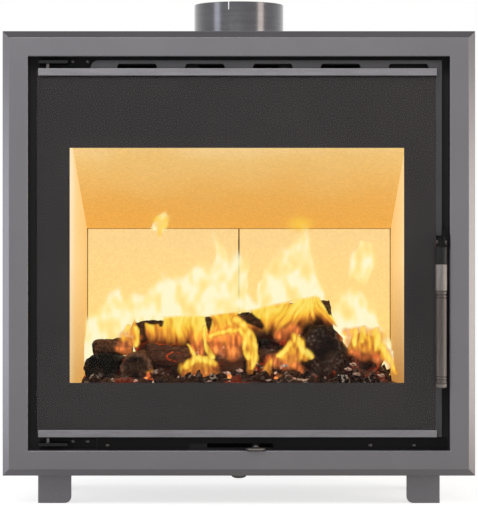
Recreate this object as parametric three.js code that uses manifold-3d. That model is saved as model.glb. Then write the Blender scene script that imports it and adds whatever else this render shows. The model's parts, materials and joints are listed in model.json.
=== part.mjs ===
// A wood-burning fireplace insert: a welded firebox in a convection casing, behind a bevelled front
// frame, with a glazed door on two pins, a swing handle that latches it and a sliding air control.
// Millimetres. x runs to the right, y runs back from the face of the front frame, z up from the floor.
import * as THREE from "three";
import { mergeVertices } from "three/addons/utils/BufferGeometryUtils.js";
import Module from "manifold-3d";

const wasm = await Module();
wasm.setup();

// ---- Driving dimensions ----

// Fits
const SEAM = 0.3; // left at a weld, a seal or a seat
const RUNNING_GAP = 0.6; // between a moving piece and the one that it passes
const PIN_CLEARANCE = 0.4; // round a pin in its hole

// Front frame
const FRAME_WIDTH = 760;
const FRAME_HEIGHT = 715;
const FRAME_THICKNESS = 14;
const FRAME_BEVEL = 11;
const FRAME_EDGE = 1.2; // chamfer of the inner edge
const FRAME_BAR = 41.5;
const FRAME_FLOOR_GAP = 48;

// Recess between the frame and the front plate
const RECESS_DEPTH = 44;
const LINER_SHEET = 2;
const LINER_SETBACK = 1.5;

// Firebox, welded from plate
const PLATE = 4;
const PLATE_SIDE_OVERLAP = 6.5;
const PLATE_DROP = 27.5;
const BODY_SIDE_INSET = 38.5;
const BODY_BASE_RISE = 12;
const BODY_ROOF_DROP = 26.5;
const ASH_ROOM = 48.5; // between the base and floor plates
const MOUTH_SIDE_INSET = 22.5; // from the body's side
const MOUTH_SILL = 63.5; // above the body's base
const MOUTH_ROOF_DROP = 40;
const TOP_SLOT_LENGTH = 130;
const TOP_SLOT_HEIGHT = 10;
const TOP_SLOT_PITCH = 160;
const TOP_SLOT_RISE = 5; // above the body's roof

// Convection casing
const CASING_SHEET = 1.5;
const CASING_SIDE_GAP = 26.5;
const CASING_TOP_GAP = 55;
const CASING_DEPTH = 400;
const REAR_CHANNEL = 33.9; // for air behind the body
const CASING_FLOOR_GAP = 60;

// Flue collar
const FLUE_OUTSIDE = 150;
const FLUE_WALL = 2.5;
const FLUE_SETBACK = 215;
const FLUE_RISE = 60; // above the front frame
const FLUE_FLANGE_DIAMETER = 180;
const FLUE_FLANGE_THICKNESS = 4;
const FLUE_SLIT_WIDTH = 1.5;
const FLUE_SLIT_DEPTH = 15;
const FLUE_SLIT_X = -17;
const FLUE_CASING_GAP = 3;

// Linings, baffle and hearth, all of vermiculite board
const BACK_LINING = 30;
const LINING_SHOWS = 1.5; // of each side lining, inside the mouth
const LINING_SPLAY = 14; // how much nearer the side linings stand at the back
const LINING_JOINT = 1.5;
const BACK_JOINT = 2.4;
const BAFFLE_THICKNESS = 30;
const BAFFLE_LOW_DROP = 246.5; // of its underside at the back lining, below the body's roof
const BAFFLE_SLOPE = THREE.MathUtils.degToRad(30.6);
const SMOKE_GAP = 26.7; // in front of the baffle
const HEARTH_BOARD = 29.7;

// Grate, ash well and ash pan
const GRATE_HALF_WIDTH = 140;
const GRATE_FRONT_GAP = 69.7; // to the front of the body
const GRATE_BACK_GAP = 28.3; // to the back lining
const GRATE_THICKNESS = 13.7;
const GRATE_SLOT = 8;
const GRATE_PITCH = 20;
const GRATE_RIM = 12;
const WELL_SHEET = 2.5;
const WELL_MARGIN = 4; // outside the hole in the floor plate
const FLOOR_HOLE_INSET = 13; // from the grate's edge
const WELL_VENT_HALF = 60;
const WELL_VENT_HEIGHT = 18;
const PAN_GAP = 4;
const PAN_SHEET = 1.5;
const PAN_HEIGHT = 38;
const PAN_DRAFT = 8;

// Lower fascia
const FASCIA_SHEET = 2.7;
const FASCIA_HEIGHT = 19;
const FASCIA_LEFT_GAP = 110.5;
const FASCIA_RIGHT_GAP = 3;
const FASCIA_ARCH = 30; // half width of the dark arch over the air lever

// Door
const DOOR_SETBACK = 12; // of the glass
const GLASS = 4;
const GLASS_TAPE = 0.8;
const GLASS_OVERHANG = 8;
const GLASS_INSET = 10;
const GLASS_BOTTOM_INSET = 2;
const GLASS_TOP_INSET = 0.5;
const GLASS_CORNER = 3;
const DOOR_SHEET = 3;
const DOOR_FLANGE = 14.2; // behind the sheet
const DOOR_LEFT_GAP = 20.5;
const DOOR_RIGHT_GAP = 11.5;
const DOOR_BOTTOM_GAP = 20;
const DOOR_SHOULDER_GAP = 19.5;
const WINDOW_MARGIN = 3; // round the mouth
const GASKET_BAR = 14;
const GASKET_WIDTH = 10;
const COMB_GAP = 4.7; // under the frame's opening
const COMB_INSET = 79; // of the comb's left end, from the door's left edge
const COMB_SLOT_COUNT = 5;
const COMB_SLOT_LEFT_GAP = 75; // from the comb's end to the first slot's middle
const COMB_SLOT_RIGHT_GAP = 53.8; // from the last slot's middle to the door's right edge
const COMB_SLOT_FOOT = 65;
const COMB_SLOT_HEAD = 59;
const COMB_SLOT_HEIGHT = 7.3;
const CLAMP_HEIGHT = 12;
const CLAMP_THICKNESS = 2.8;
const CLAMP_RETURN = 1.5;
const CLAMP_LEFT_INSET = 3;
const CLAMP_RIGHT_OVERHANG = 1.5;

// Hinges
const HINGE_INSET = 10; // of the pins, from the door's left edge
const HINGE_DEPTH = 20;
const HINGE_PIN = 6;
const HINGE_TONGUE = 5;
const HINGE_TONGUE_GAP = 9; // above and below the door
const HINGE_TONGUE_FRONT = 8;
const HINGE_TONGUE_LEFT = 14; // beyond the pin
const HINGE_TONGUE_RIGHT = 33;
const HINGE_PLATE = 3;
const HINGE_PLATE_RIGHT = 76;
const HINGE_PLATE_OVER = 5;

// Handle and latch
const HANDLE_EDGE_INSET = 4; // of the handle's axis, from the door's right edge
const PIVOT_DEPTH = 4;
const PIVOT_RISE = 313.5; // above the door's lower edge
const PIVOT_PIN = 8;
const PIVOT_BOSS = 11;
const PIVOT_HEAD = 12;
const PIVOT_HEAD_THICKNESS = 2.4;
const LEVER_THICKNESS = 8;
const LEVER_TAIL = 34; // behind the pivot
const LEVER_TAIL_HEIGHT = 12.4;
const HANDLE_REACH = 16; // of the handle's axis, in front of the frame
const HANDLE_ROD = 8;
const HANDLE_TOP_DROP = 34.9; // of the ferrule, below the pivot
const HUB_DIAMETER = 18.5; // of the lever's black hub above the ferrule
const HUB_TOP_DROP = 6; // below the pivot
const FERRULE_DIAMETER = 19;
const FERRULE_LENGTH = 42.5;
const GRIP_DIAMETER = 18;
const GRIP_LENGTH = 148.2;
const GRIP_RING = 0.8; // depth of a turned groove
const GRIP_RING_WIDTH = 3;
const GRIP_RING_INSETS = [6, 11]; // of the grooves, from each end
const HANDLE_EASE = 0.8; // of turned edges
const END_CAP_LENGTH = 6.5;
const END_CAP_FLOOR = 2.5;
const BRACKET_SHEET = 3;
const BRACKET_FOOT = 16; // height riveted to the door's flange
const NOTCH_ABOVE = 11;
const NOTCH_BELOW = 38;
const NOTCH_DEPTH = 9.5;
const KEEPER_SHEET = 3;
const KEEPER_HALF_WIDTH = 9;
const KEEPER_REACH = 15;
const KEEPER_HEIGHT = 30;

// Air control
const SLIDE_SHEET = 2.5;
const SLIDE_HALF_LENGTH = 75;
const SLIDE_SETBACK = 9.7; // behind the body's front
const SLIDE_DEPTH = 34;
const SLIDE_REST_X = 27;
const SLIDE_TO_LEFT = 70;
const SLIDE_TO_RIGHT = 20;
const PORT_WIDTH = 24;
const PORT_DEPTH = 20;
const PORT_PITCH = 50;
const RAIL_WIDTH = 3.4;
const RAIL_LIP = 4;
const RAIL_HALF_LENGTH = 135;
const LEVER_STRIP = 12;
const LEVER_STRIP_SHEET = 2;
const LEVER_SLOT_GAP = 2.5;
const KNOB_DIAMETER = 32;
const KNOB_THICKNESS = 3;
const KNOB_DEPTH = 2; // of its centre, behind the face
const KNOB_SCREW = 7;
const KNOB_SHANK = 4.4;
const KNOB_SCREW_HEIGHT = 2;

// Feet, and the clip that holds the frame
const FOOT_WIDTH = 54;
const REAR_FOOT_WIDTH = 33;
const FOOT_SHEET = 3;
const FOOT_FLANGE = 50;
const FOOT_CORNER = 11;
const FRONT_FOOT_SETBACK = 6.7; // behind the body's front
const REAR_FOOT_INSET = 50; // from the casing's back
const CLIP_HALF_WIDTH = 20;
const CLIP_SHEET = 3;
const CLIP_RISE = 2; // over the frame's lower edge
const CLIP_LEG = 30;
const CLIP_BOLT_HEAD = 24;
const CLIP_BOLT_DOME = 7.2;
const CLIP_BOLT_SHANK = 8;
const CLIP_BOLT_LENGTH = 15;

// Fuel
const EMBER_BASE = 2.6;
const EMBER_MOUND = 11;
const EMBER_SIDE_GAP = 10; // to the side linings at the back
const EMBER_FRONT_GAP = 13.7; // to the front of the hearth
const EMBER_BACK_GAP = 12.3; // to the back lining
const EMBER_LUMP = 4;
const HEAP_LEFT = 40; // of the charcoal heaped under the back log, at the log's left end
const HEAP_RIGHT = 70;
const HEAP_DEPTH = 222; // of its crest
const HEAP_HALF = 84; // from its crest to its foot
const LOG_SIDES = 12;
const LOG_RINGS = 8;
const LOG_SEAT = 0.35; // left where one log has settled on another

// ---- Levels and places that follow from them ----

const OPENING = {
  left: -(FRAME_WIDTH / 2 - FRAME_BAR),
  right: FRAME_WIDTH / 2 - FRAME_BAR,
  bottom: FRAME_FLOOR_GAP + FRAME_BAR,
  top: FRAME_FLOOR_GAP + FRAME_HEIGHT - FRAME_BAR,
};
const FRAME_TOP = FRAME_FLOOR_GAP + FRAME_HEIGHT;
const PLATE_BACK = RECESS_DEPTH + PLATE;
const RECESS_BACK = RECESS_DEPTH - SEAM;
const BODY_HALF = OPENING.right - BODY_SIDE_INSET;
const BODY_BASE = OPENING.bottom + BODY_BASE_RISE;
const BODY_ROOF = OPENING.top - BODY_ROOF_DROP;
const BODY_FRONT = PLATE_BACK + SEAM;
const BODY_BACK = CASING_DEPTH - CASING_SHEET - REAR_CHANNEL - PLATE - SEAM;
const BODY_INSIDE = BODY_HALF - PLATE;
const BASE_TOP = BODY_BASE + PLATE;
const CASING_INSIDE = BODY_HALF + CASING_SIDE_GAP;
const CASING_TOP = BODY_ROOF + CASING_TOP_GAP;
const PLATE_HALF = OPENING.right + PLATE_SIDE_OVERLAP;
const PLATE_BOTTOM = OPENING.bottom - PLATE_DROP;
const BACK_LINING_FACE = BODY_BACK - BACK_LINING;
const HEARTH_PLATE_HEIGHT = BASE_TOP + ASH_ROOM;
const FLOOR_TOP = HEARTH_PLATE_HEIGHT + PLATE;
const LINING_BOTTOM = FLOOR_TOP + SEAM;
const HEARTH_TOP = LINING_BOTTOM + HEARTH_BOARD;
const GRATE_TOP = LINING_BOTTOM + GRATE_THICKNESS;
const GRATE_FRONT = BODY_FRONT + GRATE_FRONT_GAP;
const GRATE_BACK = BACK_LINING_FACE - GRATE_BACK_GAP;
const FLOOR_HOLE_HALF = GRATE_HALF_WIDTH - FLOOR_HOLE_INSET;
const FLOOR_HOLE_FRONT = GRATE_FRONT + FLOOR_HOLE_INSET;
const FLOOR_HOLE_BACK = GRATE_BACK - FLOOR_HOLE_INSET;
const MOUTH_HALF = BODY_HALF - MOUTH_SIDE_INSET;
const MOUTH_BOTTOM = BODY_BASE + MOUTH_SILL;
const MOUTH_TOP = BODY_ROOF - MOUTH_ROOF_DROP;
const LINING_FRONT_HALF = MOUTH_HALF - LINING_SHOWS;
const LINING_BACK_HALF = LINING_FRONT_HALF - LINING_SPLAY;
const BAFFLE_FRONT = BODY_FRONT + SMOKE_GAP;
const COLLAR_TOP = FRAME_TOP + FLUE_RISE;
const FASCIA_LEFT = OPENING.left + FASCIA_LEFT_GAP;
const SLIDE_FRONT = BODY_FRONT + SLIDE_SETBACK;
const FRONT_FOOT_DEPTH = BODY_FRONT + FRONT_FOOT_SETBACK;
const REAR_FOOT_DEPTH = CASING_DEPTH - REAR_FOOT_INSET - FOOT_FLANGE;
const EMBER_HALF_WIDTH = LINING_BACK_HALF - EMBER_SIDE_GAP;
const EMBER_FRONT = BODY_FRONT + EMBER_FRONT_GAP;
const EMBER_BACK = BACK_LINING_FACE - EMBER_BACK_GAP;

const DOOR = {
  left: OPENING.left + DOOR_LEFT_GAP,
  right: OPENING.right - DOOR_RIGHT_GAP,
  bottom: OPENING.bottom + DOOR_BOTTOM_GAP,
  top: OPENING.top - DOOR_SHOULDER_GAP,
};
const GLASS_BACK = DOOR_SETBACK + GLASS;
const SHEET_FACE = GLASS_BACK + GLASS_TAPE;
const SHEET_BACK = SHEET_FACE + DOOR_SHEET;
const DOOR_BACK = SHEET_BACK + DOOR_FLANGE;
const GLAZING = {
  left: DOOR.left - GLASS_OVERHANG,
  right: DOOR.right - GLASS_INSET,
  bottom: DOOR.bottom + GLASS_BOTTOM_INSET,
  top: DOOR.top - GLASS_TOP_INSET,
};
const WINDOW = {
  left: -(MOUTH_HALF + WINDOW_MARGIN),
  right: MOUTH_HALF + WINDOW_MARGIN,
  bottom: MOUTH_BOTTOM - WINDOW_MARGIN,
  top: MOUTH_TOP + WINDOW_MARGIN,
};
const GASKET_BAR_RING = grown(WINDOW, GASKET_BAR);
const GASKET_RING = grown(WINDOW, (GASKET_BAR + GASKET_WIDTH) / 2);
const COMB_LEFT = DOOR.left + COMB_INSET;
const COMB_SLOT_FIRST = COMB_LEFT + COMB_SLOT_LEFT_GAP;
const COMB_SLOT_LAST = DOOR.right - COMB_SLOT_RIGHT_GAP;
const COMB_SLOT_PITCH = (COMB_SLOT_LAST - COMB_SLOT_FIRST) / (COMB_SLOT_COUNT - 1);
const HINGE_X = DOOR.left + HINGE_INSET;
const PIVOT_HEIGHT = DOOR.bottom + PIVOT_RISE;
const HANDLE_X = DOOR.right - HANDLE_EDGE_INSET;
const FERRULE_TOP = PIVOT_HEIGHT - HANDLE_TOP_DROP;
const GRIP_TOP = FERRULE_TOP - FERRULE_LENGTH - SEAM;
const END_CAP_TOP = GRIP_TOP - GRIP_LENGTH - SEAM;
const NOTCH_TOP = PIVOT_HEIGHT + NOTCH_ABOVE;
const KNOB_BOTTOM = OPENING.bottom + RUNNING_GAP;
const STRIP_BOTTOM = KNOB_BOTTOM + KNOB_THICKNESS + SEAM;
const STRIP_TOP = STRIP_BOTTOM + LEVER_STRIP_SHEET;
const SLIDE_TOP = BODY_BASE - SEAM;
const SLIDE_CENTRE = SLIDE_FRONT + SLIDE_DEPTH / 2;
const STRIP_SLOT = {
  left: SLIDE_REST_X - SLIDE_TO_LEFT - LEVER_STRIP / 2 - LEVER_SLOT_GAP,
  right: SLIDE_REST_X + SLIDE_TO_RIGHT + LEVER_STRIP / 2 + LEVER_SLOT_GAP,
  bottom: STRIP_BOTTOM - LEVER_SLOT_GAP,
  top: STRIP_TOP + LEVER_SLOT_GAP,
};
const LEAST_Y = -(HANDLE_REACH + FERRULE_DIAMETER / 2);
const CENTRE_Y = (CASING_DEPTH + LEAST_Y) / 2;

// ---- Shapes and solids ----

// A rectangle made larger by the same margin all round.
function grown({ left, right, bottom, top }, margin) {
  return { left: left - margin, right: right + margin, bottom: bottom - margin, top: top + margin };
}

function solidOf(geometry) {
  const bare = geometry.clone();
  bare.deleteAttribute("normal");
  bare.deleteAttribute("uv");
  const merged = mergeVertices(bare, 1e-4);
  return new wasm.Manifold(
    new wasm.Mesh({
      numProp: 3,
      vertProperties: merged.attributes.position.array,
      triVerts: new Uint32Array(merged.index.array),
    }),
  );
}

function geometryOf(solid) {
  const { vertProperties, triVerts } = solid.getMesh();
  const geometry = new THREE.BufferGeometry();
  geometry.setAttribute("position", new THREE.BufferAttribute(new Float32Array(vertProperties), 3));
  geometry.setIndex(new THREE.BufferAttribute(new Uint32Array(triVerts), 1));
  geometry.computeVertexNormals();
  return geometry;
}

function joined(...geometries) {
  return geometryOf(geometries.map(solidOf).reduce((a, b) => a.add(b)));
}

function cut(geometry, ...tools) {
  return geometryOf(tools.map(solidOf).reduce((a, b) => a.subtract(b), solidOf(geometry)));
}

function common(a, b) {
  return geometryOf(solidOf(a).intersect(solidOf(b)));
}

function block([x0, x1], [y0, y1], [z0, z1]) {
  return new THREE.BoxGeometry(x1 - x0, y1 - y0, z1 - z0).translate(
    (x0 + x1) / 2,
    (y0 + y1) / 2,
    (z0 + z1) / 2,
  );
}

function polygon(points) {
  return new THREE.Shape(points.map(([a, b]) => new THREE.Vector2(a, b)));
}

function rectangle({ left, right, bottom, top }) {
  return polygon([
    [left, bottom],
    [right, bottom],
    [right, top],
    [left, top],
  ]);
}

function withHoles(shape, ...holes) {
  shape.holes.push(...holes);
  return shape;
}

function circle(x, y, radius) {
  return new THREE.Shape().absarc(x, y, radius, 0, 2 * Math.PI);
}

function roundedRectangle({ left, right, bottom, top }, radius) {
  return new THREE.Shape()
    .absarc(left + radius, bottom + radius, radius, Math.PI, 1.5 * Math.PI)
    .absarc(right - radius, bottom + radius, radius, 1.5 * Math.PI, 2 * Math.PI)
    .absarc(right - radius, top - radius, radius, 0, 0.5 * Math.PI)
    .absarc(left + radius, top - radius, radius, 0.5 * Math.PI, Math.PI);
}

// Holes are cut out of the solid outline, so that faces stay closed where several holes line up.
function extruded(shape, depth, curveSegments = 6) {
  const { holes } = shape;
  const outline = shape.clone();
  outline.holes = [];
  const prism = (face, length) =>
    new THREE.ExtrudeGeometry(face, { depth: length, curveSegments, bevelEnabled: false });
  if (!holes.length) return prism(outline, depth);
  const drills = holes.map((hole) => prism(hole, depth + 2).translate(0, 0, -1));
  return cut(prism(outline, depth), ...drills);
}

// An outline in x and y, from z0 up to z1.
function flatPlate(shape, z0, z1, segments) {
  return extruded(shape, z1 - z0, segments).translate(0, 0, z0);
}

// An outline in x and z, from y0 back to y1.
function uprightPlate(shape, y0, y1, segments) {
  return extruded(shape, y1 - y0, segments)
    .rotateX(Math.PI / 2)
    .translate(0, y1, 0);
}

// An outline in y and z, from x0 across to x1.
function sidePlate(shape, x0, x1, segments) {
  const turn = new THREE.Matrix4().makeBasis(
    new THREE.Vector3(0, 1, 0),
    new THREE.Vector3(0, 0, 1),
    new THREE.Vector3(1, 0, 0),
  );
  return extruded(shape, x1 - x0, segments).applyMatrix4(turn).translate(x0, 0, 0);
}

// A skin over rings of points that run anticlockwise round their path. It closes on its first ring,
// or else with a fan at each end.
function skin(rings, closed) {
  const sides = rings[0].length;
  const points = rings.flat();
  const faces = [];
  const last = closed ? rings.length : rings.length - 1;
  for (let i = 0; i < last; i++) {
    const next = (i + 1) % rings.length;
    for (let j = 0; j < sides; j++) {
      const k = (j + 1) % sides;
      faces.push(i * sides + j, i * sides + k, next * sides + k);
      faces.push(i * sides + j, next * sides + k, next * sides + j);
    }
  }
  if (!closed) {
    const middle = (ring) =>
      ring.reduce((a, p) => a.add(p), new THREE.Vector3()).divideScalar(sides);
    const end = (rings.length - 1) * sides;
    points.push(middle(rings[0]), middle(rings.at(-1)));
    for (let j = 0; j < sides; j++) {
      const k = (j + 1) % sides;
      faces.push(points.length - 2, k, j);
      faces.push(points.length - 1, end + j, end + k);
    }
  }
  const geometry = new THREE.BufferGeometry().setFromPoints(points);
  geometry.setIndex(faces);
  geometry.computeVertexNormals();
  return geometry;
}

// A mitred ring: a section given as [y, distance in from the ring's outer edge], anticlockwise.
function mitredRing(section, { left, right, bottom, top }) {
  const corners = [
    [left, bottom, 1, 1],
    [right, bottom, -1, 1],
    [right, top, -1, -1],
    [left, top, 1, -1],
  ];
  return skin(
    corners.map(([x, z, toX, toZ]) =>
      section.map(([y, inset]) => new THREE.Vector3(x + toX * inset, y, z + toZ * inset)),
    ),
    true,
  );
}

function bar(y0, y1, width) {
  return [
    [y1, 0],
    [y1, width],
    [y0, width],
    [y0, 0],
  ];
}

function turned(profile, segments) {
  return new THREE.LatheGeometry(
    profile.map(([r, z]) => new THREE.Vector2(r, z)),
    segments,
  ).rotateX(Math.PI / 2);
}

// ---- Finishes ----

const FINISHES = {
  greyPaint: { color: 0x7b797c, roughness: 0.45, metalness: 0.35 },
  blackPaint: { color: 0x242325, roughness: 0.6, metalness: 0.2 },
  galvanised: { color: 0xa3a6a8, roughness: 0.5, metalness: 0.8 },
  brushedSteel: { color: 0x8f8c8b, roughness: 0.35, metalness: 1 },
  chrome: { color: 0xc9c7c5, roughness: 0.12, metalness: 1 },
  darkSteel: { color: 0x4a4745, roughness: 0.35, metalness: 1 },
  clampSteel: { color: 0x807d80, roughness: 0.4, metalness: 0.8 },
  glass: { color: 0x39383a, roughness: 0.05, metalness: 0 },
  gasket: { color: 0x3c3a38, roughness: 0.95, metalness: 0 },
  vermiculite: { color: 0xeeb46c, roughness: 0.95, metalness: 0 },
  castIron: { color: 0x1f1d1c, roughness: 0.8, metalness: 0.3 },
  char: { color: 0x1c1715, roughness: 0.95, metalness: 0 },
  ember: { color: 0x4a2417, roughness: 0.95, metalness: 0 },
};

function piece(name, finish, geometry) {
  const mesh = new THREE.Mesh(geometry, new THREE.MeshStandardMaterial(FINISHES[finish]));
  mesh.name = name;
  return mesh;
}

function assembly(...pieces) {
  const group = new THREE.Group();
  group.add(...pieces.flat());
  return group;
}

// ---- Front frame and recess ----

function frontFrame() {
  const section = [
    [FRAME_THICKNESS, 0],
    [FRAME_THICKNESS, FRAME_BAR],
    [FRAME_EDGE, FRAME_BAR],
    [0, FRAME_BAR - FRAME_EDGE],
    [0, FRAME_BEVEL],
    [FRAME_BEVEL, 0],
  ];
  return mitredRing(section, grown(OPENING, FRAME_BAR));
}

function recessLiner() {
  const outside = grown(OPENING, LINER_SETBACK + LINER_SHEET);
  return mitredRing(bar(FRAME_THICKNESS + SEAM, RECESS_BACK, LINER_SHEET), outside);
}

function frontPlate() {
  const outline = rectangle({
    left: -PLATE_HALF,
    right: PLATE_HALF,
    bottom: PLATE_BOTTOM,
    top: CASING_TOP - SEAM,
  });
  const mouth = rectangle({
    left: -MOUTH_HALF,
    right: MOUTH_HALF,
    bottom: MOUTH_BOTTOM,
    top: MOUTH_TOP,
  });
  const slots = [-1, 0, 1].map((n) =>
    rectangle({
      left: n * TOP_SLOT_PITCH - TOP_SLOT_LENGTH / 2,
      right: n * TOP_SLOT_PITCH + TOP_SLOT_LENGTH / 2,
      bottom: BODY_ROOF + TOP_SLOT_RISE,
      top: BODY_ROOF + TOP_SLOT_RISE + TOP_SLOT_HEIGHT,
    }),
  );
  const holes = [mouth, rectangle(STRIP_SLOT), ...slots];
  return uprightPlate(withHoles(outline, ...holes), RECESS_DEPTH, PLATE_BACK);
}

function lowerFascia() {
  const bottom = OPENING.bottom - LINER_SETBACK + SEAM;
  const top = bottom + FASCIA_HEIGHT;
  const right = OPENING.right + LINER_SETBACK - FASCIA_RIGHT_GAP;
  const outline = rectangle({ left: FASCIA_LEFT, right, bottom, top });
  const slot = grown(STRIP_SLOT, 0);
  const sheet = uprightPlate(outline, RECESS_BACK - FASCIA_SHEET, RECESS_BACK);
  const room = uprightPlate(
    roundedRectangle({ ...slot, left: slot.left - FASCIA_ARCH, bottom: bottom - 1 }, SEAM),
    RECESS_BACK - 2 * FASCIA_SHEET,
    RECESS_BACK + 1,
  );
  return cut(sheet, room);
}

function frameClip() {
  const low = FRAME_FLOOR_GAP + CLIP_RISE;
  const front = FRAME_THICKNESS + SEAM;
  const profile = polygon([
    [front, low],
    [RECESS_BACK, low],
    [RECESS_BACK, low + CLIP_LEG],
    [RECESS_BACK - CLIP_SHEET, low + CLIP_LEG],
    [RECESS_BACK - CLIP_SHEET, low + CLIP_SHEET],
    [front + CLIP_SHEET, low + CLIP_SHEET],
    [front + CLIP_SHEET, low + CLIP_LEG],
    [front, low + CLIP_LEG],
  ]);
  const hole = flatPlate(
    circle(0, clipBoltDepth(), CLIP_BOLT_SHANK / 2 + PIN_CLEARANCE),
    low - 1,
    low + CLIP_SHEET + 1,
  );
  return cut(sidePlate(profile, -CLIP_HALF_WIDTH, CLIP_HALF_WIDTH), hole);
}

function clipBoltDepth() {
  return (FRAME_THICKNESS + RECESS_DEPTH) / 2;
}

function frameClipBolt() {
  const head = CLIP_BOLT_HEAD / 2;
  const dome = [0, 0.2, 0.4, 0.6, 0.8, 1].map((t) => [
    head * Math.sin((t * Math.PI) / 2),
    -CLIP_BOLT_DOME + (CLIP_BOLT_DOME - 1.5) * (1 - Math.cos((t * Math.PI) / 2)),
  ]);
  const profile = [
    ...dome,
    [head, 0],
    [CLIP_BOLT_SHANK / 2, 0],
    [CLIP_BOLT_SHANK / 2, CLIP_BOLT_LENGTH],
    [0, CLIP_BOLT_LENGTH],
  ];
  return turned(profile, 20).translate(0, clipBoltDepth(), FRAME_FLOOR_GAP + CLIP_RISE - SEAM);
}

// ---- Firebox body ----

function bodySidePlate(side) {
  const x = [side * BODY_INSIDE, side * BODY_HALF].sort((a, b) => a - b);
  return block(x, [BODY_FRONT, BODY_BACK], [BASE_TOP + SEAM, BODY_ROOF - PLATE - SEAM]);
}

function bodyBackPlate() {
  const back = BODY_BACK + SEAM;
  return block(
    [-BODY_HALF, BODY_HALF],
    [back, back + PLATE],
    [BASE_TOP + SEAM, BODY_ROOF - PLATE - SEAM],
  );
}

function bodyTopPlate() {
  const outline = rectangle({
    left: -BODY_HALF,
    right: BODY_HALF,
    bottom: BODY_FRONT,
    top: BODY_BACK + SEAM + PLATE,
  });
  const hole = circle(0, FLUE_SETBACK, FLUE_OUTSIDE / 2 - FLUE_WALL);
  return flatPlate(withHoles(outline, hole), BODY_ROOF - PLATE, BODY_ROOF, 16);
}

function ports(centre) {
  return [-1, 0, 1].map((n) =>
    rectangle({
      left: centre + n * PORT_PITCH - PORT_WIDTH / 2,
      right: centre + n * PORT_PITCH + PORT_WIDTH / 2,
      bottom: SLIDE_CENTRE - PORT_DEPTH / 2,
      top: SLIDE_CENTRE + PORT_DEPTH / 2,
    }),
  );
}

// The base plate carries two lipped rails under it, and the air slide runs in them.
function bodyBasePlate() {
  const outline = rectangle({
    left: -BODY_HALF,
    right: BODY_HALF,
    bottom: BODY_FRONT,
    top: BODY_BACK + SEAM + PLATE,
  });
  const plate = flatPlate(withHoles(outline, ...ports(0)), BODY_BASE, BASE_TOP);
  const under = SLIDE_TOP - SLIDE_SHEET - SEAM;
  const front = SLIDE_FRONT - SEAM;
  const back = SLIDE_FRONT + SLIDE_DEPTH + SEAM;
  const rail = (edge, away, x0, x1) =>
    sidePlate(
      polygon([
        [edge, BODY_BASE + 1],
        [edge, under],
        [edge - away * RAIL_LIP, under],
        [edge - away * RAIL_LIP, under - LEVER_STRIP_SHEET],
        [edge + away * RAIL_WIDTH, under - LEVER_STRIP_SHEET],
        [edge + away * RAIL_WIDTH, BODY_BASE + 1],
      ]),
      x0,
      x1,
    );
  return joined(
    plate,
    rail(back, 1, -RAIL_HALF_LENGTH, RAIL_HALF_LENGTH),
    rail(front, -1, -RAIL_HALF_LENGTH, STRIP_SLOT.left - RAIL_LIP),
    rail(front, -1, STRIP_SLOT.right + RAIL_LIP, RAIL_HALF_LENGTH),
  );
}

function bodyFloorPlate() {
  const half = BODY_INSIDE - SEAM;
  const outline = rectangle({ left: -half, right: half, bottom: BODY_FRONT, top: BODY_BACK });
  const hole = rectangle({
    left: -FLOOR_HOLE_HALF,
    right: FLOOR_HOLE_HALF,
    bottom: FLOOR_HOLE_FRONT,
    top: FLOOR_HOLE_BACK,
  });
  return flatPlate(withHoles(outline, hole), HEARTH_PLATE_HEIGHT, FLOOR_TOP);
}

function flueCollar() {
  const outside = FLUE_OUTSIDE / 2;
  const inside = outside - FLUE_WALL;
  const bottom = BODY_ROOF + SEAM;
  const tube = turned(
    [
      [inside, bottom],
      [FLUE_FLANGE_DIAMETER / 2, bottom],
      [FLUE_FLANGE_DIAMETER / 2, bottom + FLUE_FLANGE_THICKNESS],
      [outside, bottom + FLUE_FLANGE_THICKNESS],
      [outside, COLLAR_TOP],
      [inside, COLLAR_TOP],
      [inside, bottom],
    ],
    64,
  );
  const slit = block(
    [FLUE_SLIT_X - FLUE_SLIT_WIDTH / 2, FLUE_SLIT_X + FLUE_SLIT_WIDTH / 2],
    [-outside - 1, 0],
    [COLLAR_TOP - FLUE_SLIT_DEPTH, COLLAR_TOP + 1],
  );
  return cut(tube, slit).translate(0, FLUE_SETBACK, 0);
}

// ---- Convection casing ----

function casingSide(side) {
  const x = [side * CASING_INSIDE, side * (CASING_INSIDE + CASING_SHEET)].sort((a, b) => a - b);
  return block(
    x,
    [BODY_FRONT, CASING_DEPTH - CASING_SHEET - SEAM],
    [CASING_FLOOR_GAP, CASING_TOP - SEAM],
  );
}

function casingBack() {
  const half = CASING_INSIDE + CASING_SHEET;
  return block(
    [-half, half],
    [CASING_DEPTH - CASING_SHEET, CASING_DEPTH],
    [CASING_FLOOR_GAP, CASING_TOP - SEAM],
  );
}

function casingTop() {
  const half = CASING_INSIDE + CASING_SHEET;
  const outline = rectangle({ left: -half, right: half, bottom: RECESS_DEPTH, top: CASING_DEPTH });
  const hole = circle(0, FLUE_SETBACK, FLUE_OUTSIDE / 2 + FLUE_CASING_GAP);
  return flatPlate(withHoles(outline, hole), CASING_TOP, CASING_TOP + CASING_SHEET, 16);
}

// ---- Linings ----

// Half the clear width between the splayed side linings.
function clearHalf(y) {
  const t = (y - BODY_FRONT) / (BACK_LINING_FACE - BODY_FRONT);
  return LINING_FRONT_HALF + t * (LINING_BACK_HALF - LINING_FRONT_HALF);
}

// Height of the baffle's underside.
function underBaffle(y) {
  return BODY_ROOF - BAFFLE_LOW_DROP + (BACK_LINING_FACE - y) * Math.tan(BAFFLE_SLOPE);
}

// Everything under the baffle, between two depths.
function spaceUnderBaffle(y0, y1, half) {
  const profile = polygon([
    [y0, LINING_BOTTOM],
    [y1, LINING_BOTTOM],
    [y1, underBaffle(y1) - SEAM],
    [y0, underBaffle(y0) - SEAM],
  ]);
  return sidePlate(profile, -half, half);
}

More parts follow.
